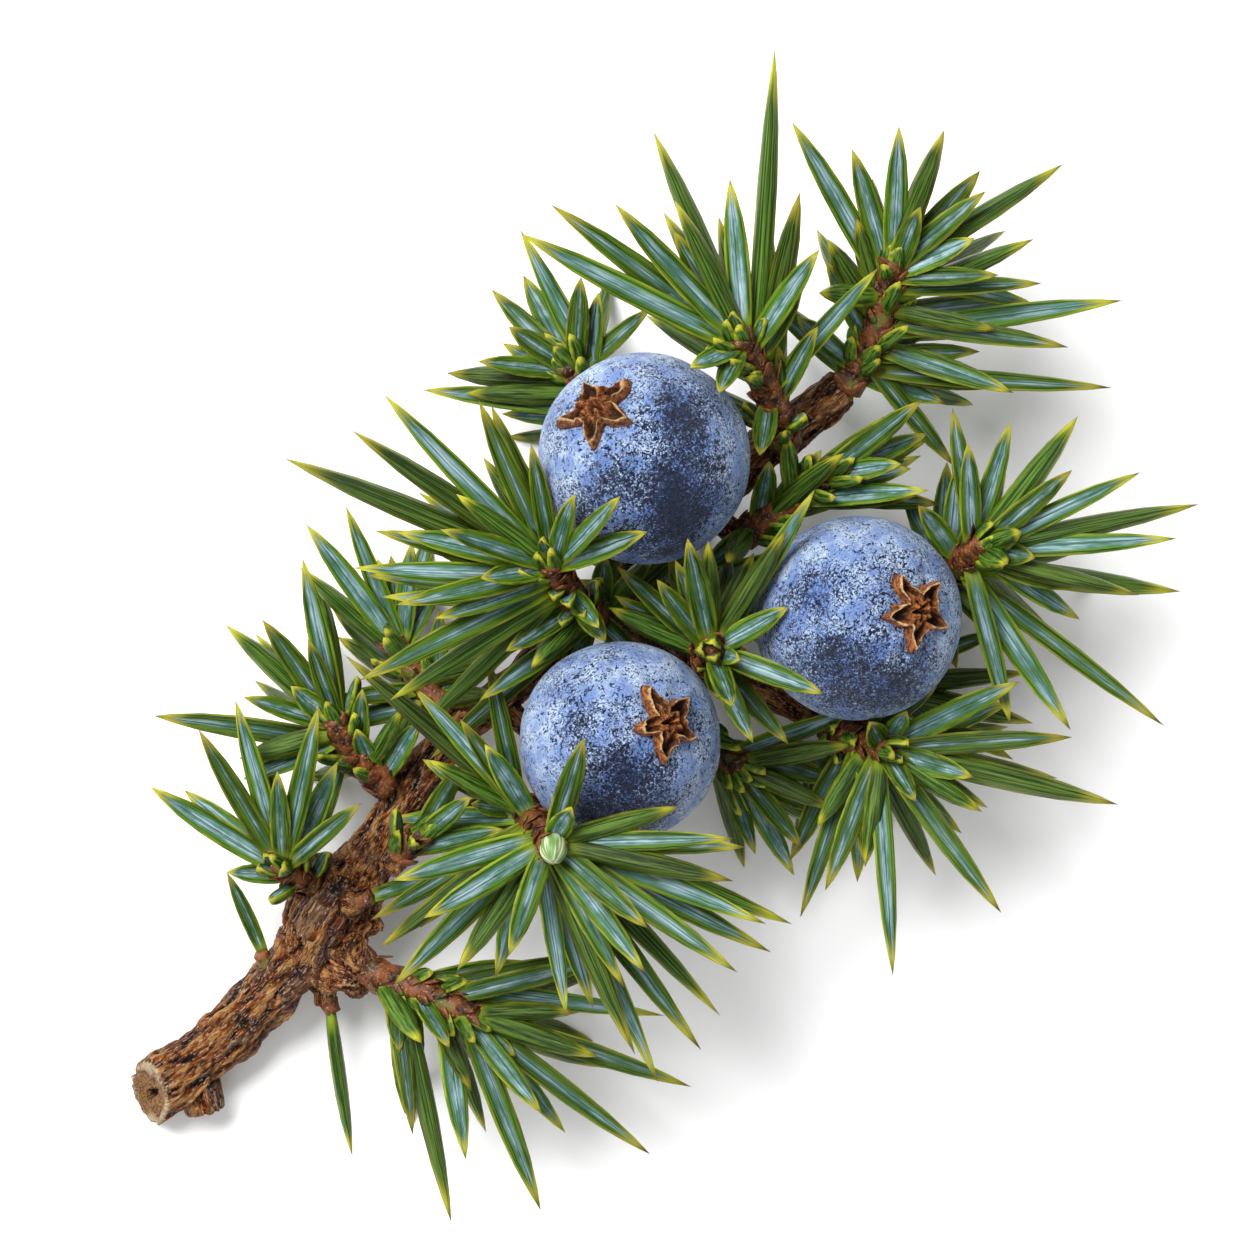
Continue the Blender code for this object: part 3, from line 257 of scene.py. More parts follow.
        Fan((0.60, 1.00), 3, (91, 58, 24), (4, 2), (7.3, 4.6, 4.0)),
        Fan((0.10, 0.30), 2, (155, 141), (10, 14), (6.1, 4.4)),
        Fan((0.30, 1.00), 3, (94, 30), (-24, -20), 6.6),
        Fan((0.20, 0.80), 3, (100, 30), -50, 9.5))),
    Shoot("root_shoot", "root_stub", 1.0,
          ((-20.6, 0.6, 5.0), (-19.5, -2.2, 5.8), (-18.7, -4.8, 6.6)), (
        Fan((0.02, 0.14), 2, (255, 231), 34, (4.3, 3.4)),
        Fan((0.15, 0.30), 3, (232, 236, 220), (12, 4), (7.8, 11.7, 4.6)),
        Fan((0.50, 0.80), 3, (247, 229, 273), (18, 12), (5.2, 7.8, 3.4)),
        Fan((0.84, 1.00), 3, (245, 275, 296), (8, 12), (10.2, 11.1, 11.7)),
        Fan((0.84, 1.00), 3, (266, 296, 313), 20, (6.5, 7.0, 5.4)),
        Fan((0.20, 0.60), 3, (308, 314, 322), (10, 14), (13.3, 9.0, 9.0)),
        Fan((0.20, 0.90), 3, (225, 262), (-22, -20), (7.0, 8.0)),
        Fan((0.30, 1.00), 3, (322, 288), (-24, -18), (6.4, 7.4)),
        Fan((0.20, 0.90), 4, (230, 330), (-42, -46), (10.0, 11.0)))),
    Shoot("behind_berry_shoot", "main_stem", 0.742,
          ((8.1, 9.0, 5.4), (8.6, 12.1, 6.0), (8.8, 14.4, 6.6)), (
        Fan((0.20, 1.00), 3, (69, 76, 94), 4, (11.2, 3.6, 3.6)),
        Fan((0.50, 0.90), 3, (96, 91, 118), (2, 6), (5.5, 6.5, 4.4)),
        Fan((0.40, 0.80), 3, (126, 138, 132), (-4, 0), (8.9, 6.2, 6.7)),
        Fan((0.70, 1.00), 3, (40, 10, 24), (12, 16), (4.4, 4.6, 4.6)),
        Fan((0.30, 1.00), 2, (130, 80), (-24, -22), 6.0),
        Fan((0.14, 0.76), 3, (130, 30), (-48, -50), 9.0))),
    Shoot("between_shoot", "right_branch", 0.46,
          ((-0.3, -2.8, 5.2), (-0.8, -4.6, 5.6), (-0.3, -6.2, 6.4)), (
        Fan((0.40, 1.00), 3, (306, 298, 262), (4, 0), (6.6, 5.6, 5.0)),
        Fan((0.30, 0.90), 3, (267, 242, 280), (-6, -2), (4.6, 4.6, 4.4)),
        Fan((0.60, 1.00), 2, (338, 325), (12, 8), (7.2, 6.0)),
        Fan((0.30, 1.00), 3, (300, 255), (-26, -22), 6.4),
        Fan((0.20, 0.80), 3, (200, 280), -46, 8.5))),
    Shoot("fork_shoot", "front_twig", 0.3,
          ((-15.0, 3.7, 7.9), (-13.4, 3.6, 8.9)), (
        Fan((0.10, 1.00), 3, (342, 8, 352), (14, 24), (5.6, 4.6, 4.6)),)),
    Shoot("knot_needle", "main_stem", 0.29,
          ((-18.4, 3.7, 6.3), (-17.8, 3.4, 6.7)), (
        Fan(0.60, 1, 339, 8, 4.4),)),
    Shoot("old_needle", "main_stem", 0.152,
          ((-24.0, 5.1, 3.9), (-23.9, 5.7, 4.2)), (
        Fan(0.60, 1, 64, 6, 4.6),)),
    Shoot("stub_needle", "root_stub", 0.1,
          ((-23.5, 1.3, 2.6), (-23.7, 0.8, 2.6)), (
        Fan(0.60, 1, 229, -4, 7.6),)),
    Shoot("under_right_shoot", "right_fork", 0.5,
          ((6.5, -6.9, 3.4), (7.6, -8.9, 3.2)), (
        Fan((0.20, 1.00), 4, (330, 285), -8, 8.0),
        Fan((0.20, 1.00), 3, (200, 260), -26, 8.0),
        Fan((0.30, 1.00), 3, (350, 230), -46, 8.0))),
    Shoot("under_middle_shoot", "main_stem", 0.669,
          ((2.5, 4.1, 4.9), (3.3, 2.4, 4.2), (5.0, 1.3, 4.0)), (
        Fan((0.30, 1.00), 3, (330, 285), (-14, -18), 8.0),
        Fan((0.30, 1.00), 3, (40, 110), -18, (8.0, 7.0)),
        Fan((0.20, 1.00), 3, (0, 240), -50, 8.0))),
)

BUD_SHOOT = "front_shoot"         # the one with a closed bud at its tip

# A berry on its stalk: its middle, its radius, how much longer it is than wide, and which way
# its crown looks.
Berry = namedtuple("Berry", "name wood share centre radius stretch crown_way")

BERRIES = (
    Berry("upper", "main_stem", 0.781, (7.7, 8.1, 13.2), 5.25, 1.0, (0.03, 0.62, 0.78)),
    Berry("right", "right_fork", 0.28, (9.1, -5.1, 10.9), 5.1, 1.05, (0.40, -0.34, 0.85)),
    Berry("lower", "main_stem", 0.557, (-3.4, -0.5, 11.9), 5.0, 1.0, (0.46, -0.21, 0.86)),
)

# ---- the dimensions of the finer forms -----------------------------------------------------

BLADE_SIDES = 8           # of a needle's section
BLADE_STATIONS = (0.0, 0.07, 0.2, 0.38, 0.56, 0.74, 0.9, 1.0)
BLADE_ROOT = 0.70         # how wide a needle is at its root, as a share of its width
BLADE_FULL = 0.36         # where along it a needle is widest
BLADE_POINT = 2.7         # how bluntly it comes to its point
BLADE_WIDTHS = (0.78, 1.01)       # of the fine needles, as a share of a solid needle's width
LONE_WIDTHS = (0.58, 0.66)        # and of those that grow alone on old wood
# The section's corners, from the middle of the face round to the keel: how far across, as a
# share of half the width, and how high.
SECTION = {90: (0.0, 0.02), 45: (0.72, 0.15), 0: (1.0, 0.10), -45: (0.66, -0.22), -90: (0.0, -0.48)}

EASE_STEPS = 5            # points of a smooth route from one of its knots to the next
REACH_IN = 0.6            # how far twigs and stalks reach into what they carry
FINE_CORE = 0.92          # how thick a fine core is, as a share of a solid one
CORE_SIDES = 14
CORE_STEP = 0.35          # from one ring of its corners to the next
CORE_BACK = 0.5           # how far it reaches back over its twig
CORE_LUMPS = ((1.9, 0.16), (5, 0.07))         # how close its lumps stand, and how high
SCALE_SIDES, SCALE_RINGS = 6, 5
SCALE_SPACING = 0.75      # from one ring of dry scales to the next
SCALE_FIRST = 0.3         # from a core's foot to its first ring, as a share of that
SCALES_ROUND = 3          # in each ring
SCALE_STAGGER = 60        # how far each ring is turned from the last, in degrees
SCALE_STRAY = 22          # and each scale from its place
SCALE_SINK = 0.06         # how deep a scale roots in the core
SCALE_THICKNESS = 0.06
SCALE_HUG = 0.10          # how far a scale folds round the core
SCALE_POINT = 2.2         # how bluntly it comes to its point
SCALE_BELLY = (0.75, 0.5)         # how wide it is at its root, and how much wider halfway
SCALE_LENGTHS = (0.7, 1.2)
SCALE_WIDTHS = (0.7, 1.1)
SCALE_LEANS = (0.15, 0.5)
SCALE_CURLS = (-0.15, 0.12)
TUFT_LEAVES = 3           # young leaves at a shoot's tip
TUFT_REACH = 1.5          # a shoot shorter than this has no tuft of young leaves
TUFT_STRAY = 20           # how far each is turned from its place, in degrees
TUFT_LEANS = (0.0, 0.3)
TUFT_ROOT = (-0.5, 0.25)  # where it roots, on from the tip and out from the core's middle
TUFT_LENGTHS = (1.1, 2.0)
TUFT_ARCH = 0.10
LEAF_BUD_SPACING = 0.75   # between leaf buds on a core
LEAF_BUD_PLACES = (0.0, 0.95)     # where along the core they may stand
LEAF_BUD_TURNS = (-10, 190)       # and where round it, in degrees
LEAF_BUD_LEANS = (0.7, 2.0)       # how much more along the core than out they point
LEAF_BUD_ROOT = 0.5
LEAF_BUD_LENGTHS = (1.0, 2.6)
LEAF_BUD_ARCH = 0.05
YOUNG_WIDTHS = (0.8, 1.0)         # of young leaves and leaf buds
YOUNG_TINTS = (0.6, 1.0)
BUD_LEAVES = 3            # of the closed bud
BUD_SIZE = (0.68, 0.68, 0.86)
BUD_WAY = (-0.55, -0.50, 0.66)    # which way its point looks
BUD_RISE = 0.2            # from the core's tip to the bud's middle
BUD_SIDES, BUD_RINGS = 60, 28
BUD_GROOVE = 0.10         # how deep the groove between two of its leaves is
GROOVE_REACH = 0.06

WOOD_SIDES = 24
TWIG_FOOT = 1.1           # how much thicker a fine twig starts
WOOD_STEP = 0.5           # from one ring of the fine wood's corners to the next
VOXEL = 0.12              # size of the bark's mesh
ROUTES_APART = 13.7       # between the grains of two stretches of wood, so that they differ
FULL_GIRTH = 1.2          # wood thinner than this has lower bark
BARK_TONE = 0.5           # how light the bark is, before the painted highlight and shade of its ridges and crevices are added
KNOT_PLACE = 14.0         # along the stem to its thick knot
KNOT_SPREAD = 4.0
KNOT_GROWTH = 2.6         # how much lumpier the bark is there

# A layer of the bark's relief: how often it comes across the grain and along it, what sets it
# apart from the other layers, how high it stands and how much it lightens the bark where it
# stands high, partly its own colour and partly painted highlight on ridges and painted shade in
# crevices.
Layer = namedtuple("Layer", "across along_it apart height light")
WANDER = Layer(0.4, 0.5, 83, 0.8, 0)          # how far ridges and fibres stray sideways
RIDGE = Layer(1.5, 0.3, 0, 0.16, 0.22)
FIBRE = Layer(3.6, 0.7, 31, 0.16, 0.45)
FINE = Layer(7.5, 2.2, 57, 0.10, 0.30)
LUMP = Layer(0.8, 0.5, 11, 0.20, 0)

CUT_NEAR = 0.10           # how far behind the cut a place on it may lie
CUT_FACING = 0.55         # and how squarely it looks the cut's way
RIM_START, RIM_FADE = 0.66, 0.14      # of the pale rim, as shares of the way out
PIT_REACH, PIT_FADE = 0.42, 0.12      # of the slot in the cut's middle, sunk and painted dark with shade
PIT_FLAT = (2.6, 0.9)     # how much narrower than the cut it is, two ways
RIM_STRAY = (1.1, 0.30)   # how closely each of their edges strays, and how far
PIT_STRAY = (2.3, 0.25)
RIM_HEIGHT, WOOD_DEPTH, PIT_DEPTH = 0.04, 0.06, 0.35
CUT_ROUGH = 0.5           # how much of the bark's relief is left on the cut
HOLLOW_DEPTH = 0.55       # of the hollow in the broken knob, which is also painted dark with shade
HOLLOW_REACH, HOLLOW_FADE = 0.58, 0.2
HOLLOW_NEAR = 0.12        # how far behind the knob's end it starts

BERRY_ROUND = 96          # faces round a berry
BERRY_RISE = 64           # and from its stalk to its crown
RILLS = 11                # small folds in the skin round a crown
RILL_HEIGHT = 0.07
RILL_PLACE, RILL_REACH = 2.2, 0.8
RILL_STRAY = (3, 2.5)     # how closely they stray sideways, and how far
SKIN_LUMPS = ((1.4, 0.09), (4.0, 0.035))      # how close a berry's lumps stand, and how high
# the most that a place on a berry is darkened, by its bloom coming off and by painted shade
MOST_RUBBED_AND_SHADED = 1.2

CROWN_SINK = 0.05         # how deep a crown stands in the berry's skin
CROWN_EXTRA = 0.10        # how much thicker a fine crown is than a solid one
LOBE_REACH = 2.1          # from a crown's middle to the point of a middling lobe
LOBE_WAIST = 0.95         # and to the notches between the lobes
LOBE_STRAY = (4, 0.34)    # how closely a crown's edge strays, and how far
CROWN_SIDES, CROWN_RINGS = 100, 44
LOBE_CUP = 1.9            # how deep a lobe's cup is for each unit of its hollow
LOBE_CUP_PLACE, LOBE_CUP_REACH, LOBE_CUP_SIDES = 0.64, 0.20, 0.6
INNER_RING_PLACE, INNER_RING_REACH = 0.34, 0.08
HOLE_DEPTH, HOLE_REACH = 0.55, 0.17
EDGE_START, EDGE_FALL = 0.88, 1.5     # where a crown falls to its edge, and how bluntly
EDGE_CURL = 0.25
FOLDS, FOLD_HEIGHT = 3, 0.10          # along each lobe
CRINKLE = (2.9, 0.14)     # how closely its wrinkles stand, and how high
THINNEST = 0.06
# how dark the painted shade is in a lobe's cup and in the middle hole, and how sharply it fades
CUP_SHADE, HOLE_SHADE, SHADE_EDGE = 2.4, 2.0, 1.5
PALE_EDGE_PLACE, PALE_EDGE_REACH, RING_PALE = 0.90, 0.05, 1.6       # where a crown is pale: partly its own dry edge, partly painted highlight on its edge and ring

# Leaves that fill the shoots near their cores, and hide the wood behind them.
INNER_FANS = {
    "left_shoot": (
        Fan(0.02, 4, (7, 11, 29, 44), (16, 24), (6.8, 3.8, 4.6, 3.8)),
        Fan(0.85, 2, (60, 68), (2, 0), (12.0, 9.0)),
        Fan((0.10, 0.50), 4, (152, 158, 166, 160), (6, -6), (10.4, 11.6, 8.0, 12.0)),
        Fan((0.20, 0.60), 3, (200, 230, 262), (26, 34), (3.4, 3.0, 2.8)),
        Fan((0.02, 0.30), 4, (140, 330), (-20, -24), (7.0, 5.0, 5.0, 7.0)),
        Fan((0.02, 0.30), 4, (146, 176), (8, -2), (8.8, 9.6, 9.0, 7.6))),
    "side_left_shoot": (
        Fan((0.05, 0.15), 2, (27, 57), (24, 20), (4.2, 3.9)),
        Fan((0.30, 0.80), 4, (20, 150), (34, 40), (3.4, 4.4, 4.4, 3.4)),
        Fan(0.02, 3, (50, 28, 2), (30, 40), (3.6, 4.2, 3.8))),
    "back_left_shoot": (
        Fan((0.10, 0.60), 3, (155, 120, 168), (8, 4), (8.0, 6.0, 9.0)),
        Fan((0.10, 0.40), 3, (40, 10, -20), (20, 26), (4.6, 4.0, 4.4)),
        Fan((0.02, 0.30), 4, (-80, -20), (30, 40), (4.6, 5.6, 5.6, 5.0))),
    "inner_shoot": (
        Fan(0.02, 2, (32, 24), (30, 24), (6.0, 5.2)),
        Fan((0.05, 0.20), 3, (5, 12, 18), (24, 14), (5.6, 4.7, 4.4)),
        Fan((0.50, 0.70), 3, (-2, 17, 30), (16, 22), (5.3, 5.8, 4.0)),
        Fan((0.40, 0.90), 3, (-37, -30, -44), (4, 0), (8.4, 6.0, 6.5)),
        Fan((0.05, 0.60), 4, (60, -60), (-14, -24), 6.0),
        Fan((0.02, 0.10), 3, (40, 22, 4), (44, 34), (5.4, 5.0, 4.4)),
        Fan(0.02, 3, (-20, -55, -85), (24, 10), (4.6, 4.6, 4.0)),
        Fan(0.02, 3, (152, 190), (26, 46), (3.8, 4.4, 3.8))),
    "middle_shoot": (
        Fan((0.10, 0.50), 4, (95, 130, 160, 200), (14, 20), (5.4, 5.0, 4.0, 3.4)),
        Fan((0.10, 0.50), 4, (30, -40), (-10, -16), 5.6)),
    "between_shoot": (
        Fan((0.10, 0.90), 5, (210, 340), (20, 26), (3.6, 4.2, 4.2, 4.0, 3.4)),
        Fan((0.10, 0.90), 4, (230, 330), (-14, -20), 6.4)),
    "upper_shoot": (
        Fan((0.10, 0.50), 4, (100, 130, 200, 320), (20, 26), (5.0, 4.0, 3.0, 3.6)),
        Fan((0.10, 0.60), 4, (110, 20), (-12, -16), 6.6)),
    "leader": (
        Fan((0.10, 0.80), 5, (95, 60, 30, 10, 40), (22, 30), (4.0, 4.4, 3.6, 4.0, 3.6)),
        Fan((0.10, 0.70), 4, (-60, -30), (22, 28), (4.4, 5.0, 4.0, 4.4)),
        Fan((0.02, 0.40), 3, (80, 120, 100), (2, -6), (6.0, 5.0, 5.6))),
    "right_shoot": (
        Fan((0.20, 0.70), 4, (20, 80), (20, 24), (4.4, 4.6, 4.4, 3.6)),
        Fan((0.10, 0.60), 4, (210, 300), (16, 22), (3.4, 4.0, 4.4, 4.4))),
    "low_right_shoot": (
        Fan((0.20, 0.70), 4, (180, 260), (20, 24), (3.6, 4.0, 4.4, 4.4)),
        Fan((0.20, 0.70), 4, (-60, 20), (14, 22), (4.4, 4.4, 4.0, 3.4))),
    "front_shoot": (
        Fan((0.20, 0.60), 5, (200, 330), (14, 20), (5.0, 5.4, 5.4, 5.0, 4.4)),
        Fan((0.10, 0.40), 4, (110, 180), (2, 10), (5.0, 6.0, 6.0, 5.0))),
    "root_shoot": (
        Fan((0.10, 0.60), 5, (215, 330), (22, 26), (3.6, 4.2, 4.4, 4.2, 4.0)),),
    "low_left_shoot": (
        Fan((0.10, 0.60), 4, (130, 30), (22, 30), (3.6, 3.4, 3.2, 3.6)),),
    "behind_berry_shoot": (
        Fan((0.20, 0.80), 4, (40, 130), (16, 22), (4.0, 4.6, 4.6, 4.0)),),
}

# Knobs on the bark: where, and how big.
KNOBS = (
    (-18.6, 6.3, 5.2, 0.7),
    (-19.6, 6.2, 4.6, 0.6),
    (-20.6, 1.6, 5.0, 0.8),
    (-20.0, 2.6, 5.2, 0.7),
    (-22.4, 2.3, 4.3, 0.75),
    (-21.5, 5.0, 4.5, 0.65),
    (-22.0, 3.4, 4.9, 0.5),
    (-21.0, 2.6, 5.1, 0.5),
    (-21.9, 0.9, 4.2, 0.55),
    (-19.1, 2.6, 5.1, 0.6),
)

# Dark patches on a berry, partly where its bloom has come off and partly painted shade: how far
# right and up on it seen from above, how wide, how dark, and how deep its dent is.
RUBBED_AND_SHADED_PATCHES = {
    "upper": ((0.36, 0.36, 0.30, 0.7, 0.05), (0.36, -0.36, 0.42, 0.75, 0.10),
              (-0.45, -0.30, 0.30, 0.4, 0.05), (0.10, -0.85, 0.45, 0.6, 0.0)),
    "right": ((-0.30, -0.45, 0.34, 0.65, 0.08), (0.25, -0.65, 0.40, 0.6, 0.05),
              (-0.55, 0.25, 0.30, 0.45, 0.05)),
    "lower": ((0.05, -0.30, 0.26, 0.7, 0.10), (-0.45, 0.10, 0.35, 0.4, 0.05),
              (0.30, -0.70, 0.40, 0.5, 0.05), (-0.25, -0.75, 0.35, 0.6, 0.0)),
}

# A crown's lobes: how long, how pointed and how deeply hollowed each is.
LOBES = {
    "upper": ((1.0, 1.6, 0.34), (0.95, 1.3, 0.4), (1.05, 1.9, 0.3), (0.9, 1.4, 0.38),
              (1.0, 1.6, 0.34)),
    "right": ((1.0, 1.5, 0.36), (1.05, 1.9, 0.3), (0.9, 1.3, 0.4), (1.0, 1.6, 0.34),
              (0.95, 1.4, 0.38)),
    "lower": ((0.95, 1.3, 0.42), (1.08, 1.9, 0.26), (0.9, 1.6, 0.3), (1.0, 1.3, 0.42),
              (0.9, 1.9, 0.3)),
}

SENSOR = 36.0
VIEW_MIDDLE = (1.0, 3.1)  # what the camera looks down on, in the layout
VIEW_WIDTH = 62.7         # how much it takes in, at the height of the view
VIEW_HEIGHT = 10
CAMERA_HEIGHT = 310.0
NEAREST_SEEN = 0.01       # in metres
VIEW_TURN = math.radians(47.5)
VIEW_RIGHT = Vector((math.cos(VIEW_TURN), -math.sin(VIEW_TURN), 0))
VIEW_UP = Vector((math.sin(VIEW_TURN), math.cos(VIEW_TURN), 0))
FLOOR_SIZE = 1.5          # half its width, in metres
FLOOR_DROP = -0.00005
SKY_STRENGTH = 0.55
# Lamps: the name, the place in metres, the width and the power.
LAMPS = (
    ("key", (0.02, 0.26, 0.36), 0.26, 3.4),
    ("fill", (-0.30, -0.10, 0.30), 0.4, 0.4),
)

LIGHT_BACK = 0.6          # how much of the bright light of the room the sprig throws back
BLOOM_BACK = 0.72         # and the white bloom of its berries


def shade(red, green, blue, back=LIGHT_BACK):
    """A colour as it is picked from a chart, 0 to 255, as light."""
    parts = [part / 255 for part in (red, green, blue)]
    return (*(back * (p / 12.92 if p <= 0.04045 else ((p + 0.055) / 1.055) ** 2.4)
              for p in parts), 1)


# Colours of the needles, scales and buds
TEAL = shade(92, 138, 124)
PALE_WAX = shade(192, 222, 232)
DEEP_TEAL = shade(34, 70, 48)
LEAF_GREEN = shade(96, 138, 30)
LEAF_DARK = shade(34, 66, 4)
LEAF_EDGE = shade(190, 196, 58)
KEEL_GREEN = shade(32, 58, 2)
KEEL_BLUE = shade(108, 142, 50)
LEAF_BASE = shade(156, 176, 40)
LEAF_TIP = shade(214, 206, 58)
LEAF_POINT = shade(232, 190, 160)
SCALE_DARK = shade(54, 26, 12)
SCALE_BROWN = shade(148, 84, 42)
# pale specks on the scales are painted glints on their gloss
SCALE_GLINT = shade(222, 168, 120)
SCALE_GREEN = shade(112, 136, 52)
BUD_GREEN = shade(120, 160, 80)
BUD_PALE = shade(220, 234, 196)
BUD_TIP = shade(240, 232, 190)

# Colours of the bark and the wood
# The darkest bark colour marks the cracks, and is painted shade in the deepest crevices, in the
# slot in the cut and in the hollow of the broken knob.
BARK_CRACK_AND_SHADE = shade(24, 10, 4)
BARK_DARK = shade(58, 22, 5)
BARK_RED = shade(140, 66, 16)
BARK_BROWN = shade(190, 108, 44)
BARK_TAN = shade(238, 174, 104)
BARK_FLECK = shade(244, 218, 186)
WEATHER_DARK = shade(46, 30, 32)
WEATHER_VIOLET = shade(128, 104, 110)
WOOD_DARK = shade(126, 74, 36)
WOOD_BROWN = shade(222, 166, 104)
WOOD_CREAM = shade(255, 232, 190, 0.7)
WOOD_TAN = shade(190, 136, 84)

# Colours of the berries and their crowns
BLOOM_BLUE = shade(126, 163, 233)
BLOOM_PALE = shade(204, 226, 255, BLOOM_BACK)
BLOOM_WHITE = shade(234, 246, 255, BLOOM_BACK)
# the skin where the bloom is thin or gone; in the dark patches partly painted shade
SKIN_BLUE = shade(66, 96, 158)
SKIN_DARK = shade(15, 26, 56)
CROWN_DARK = shade(104, 52, 18)
CROWN_COPPER = shade(214, 128, 56)
CROWN_TAN = shade(250, 206, 142)
# painted shade in a crown's cups and its middle hole
CROWN_HOLLOW_SHADE = shade(22, 10, 4)

FLOOR_PALE = shade(250, 250, 250, 1)
FLOOR_WHITE = shade(253, 253, 253, 1)

# ---- materials -----------------------------------------------------------------------------

class Value:
    """A number, colour or vector that a finish works out, with the sums done on it."""

    def __init__(self, finish, socket):
        self.finish = finish
        self.socket = socket

    def sum_of(self, operation, first, second):
        return self.finish.node("ShaderNodeMath", {"operation": operation}, {0: first, 1: second})

    def __add__(self, other):
        return self.sum_of("ADD", self, other)

    def __sub__(self, other):
        return self.sum_of("SUBTRACT", self, other)

    def __rsub__(self, other):
        return self.sum_of("SUBTRACT", other, self)

    def __mul__(self, other):
        return self.sum_of("MULTIPLY", self, other)

    def __abs__(self):
        return self.sum_of("ABSOLUTE", self, 0)

    __radd__ = __add__
    __rmul__ = __mul__

    def step(self, low, high):
        """0 below low and 1 above high, with a soft step between them."""
        return self.finish.node("ShaderNodeMapRange", {"interpolation_type": "SMOOTHSTEP"},
                                {"Value": self, "From Min": low, "From Max": high})


def socket_name(name):
    """A socket's name in the shader, for its name in Python."""
    return name.replace("_", " ").title().replace("Ior", "IOR")


class Finish:
    """A material and its shader. What is the same all over it is given as it is made."""

    def __init__(self, name, **constants):
        self.material = bpy.data.materials.new(name)
        self.material.use_nodes = True
        self.tree = self.material.node_tree
        self.shader = self.tree.nodes["Principled BSDF"]
        for name, value in constants.items():
            self.shader.inputs[socket_name(name)].default_value = value

    def node(self, kind, settings, sockets, out=0):
        """A node of any kind, and what comes out of one of its sockets."""
        made = self.tree.nodes.new(kind)
        for name, value in settings.items():
            if name == "stops":
                self.set_stops(made.color_ramp, value)
            else:
                setattr(made, name, value)
        for place, value in sockets.items():
            self.feed(made.inputs[place], value)
        return Value(self, made.outputs[out])

    def set_stops(self, ramp, stops):
        while len(ramp.elements) < len(stops):
            ramp.elements.new(1)
        for element, (position, colour) in zip(ramp.elements, stops):
            element.position = position
            element.color = colour

    def feed(self, socket, value):
        if isinstance(value, Value):
            self.tree.links.new(value.socket, socket)
        else:
            socket.default_value = value

    def show(self, **sockets):
        """Feeds the shader's own sockets with what varies over the surface."""
        for name, value in sockets.items():
            self.feed(self.shader.inputs[socket_name(name)], value)

    def place(self):
        """Where on the object a point is, in millimetres."""
        where = self.node("ShaderNodeTexCoord", {}, {}, "Object")
        return self.node("ShaderNodeMapping", {}, {"Vector": where, "Scale": [1 / MM] * 3})

    def attribute(self, name, out="Vector"):
        return self.node("ShaderNodeAttribute", {"attribute_name": name}, {}, out)

    def parts_of(self, vector):
        return [self.node("ShaderNodeSeparateXYZ", {}, {0: vector}, axis) for axis in "XYZ"]

    def vector(self, x, y, z):
        return self.node("ShaderNodeCombineXYZ", {}, {0: x, 1: y, 2: z})

    def stretch(self, vector, scale):
        return self.node("ShaderNodeVectorMath", {"operation": "MULTIPLY"},
                         {0: vector, 1: scale})

    def mottle(self, where, scale, detail=3.0, roughness=0.5, distortion=0.0):
        return self.node("ShaderNodeTexNoise", {},
                         {"Vector": where, "Scale": scale, "Detail": detail,
                          "Roughness": roughness, "Distortion": distortion}, "Fac")

    def dots(self, where, scale):
        return self.node("ShaderNodeTexVoronoi", {}, {"Vector": where, "Scale": scale},
                         "Distance")

    def mix(self, share, first, second):
        """The first colour where the share is 0, and the second where it is 1."""
        return self.node("ShaderNodeMix", {"data_type": "RGBA"},
                         {0: share, 6: first, 7: second}, 2)

    def ramp(self, value, *stops):
        return self.node("ShaderNodeValToRGB", {"stops": stops}, {0: value})

    def leaf(self):
        """How far across and along its leaf a point is, and the leaf's own tint; then how far
        it is from the middle of the leaf, as a share of the way to its edge."""
        across, along_it, tint = self.parts_of(self.attribute("leaf", "Color"))
        return across, along_it, tint, abs(across - 0.5) * 2

    def bump(self, height, depth, strength=1.0):
        """The surface's lean where a height in it changes, for a depth in millimetres."""
        return self.node("ShaderNodeBump", {}, {"Height": height, "Distance": depth * MM,
                                                "Strength": strength}, "Normal")


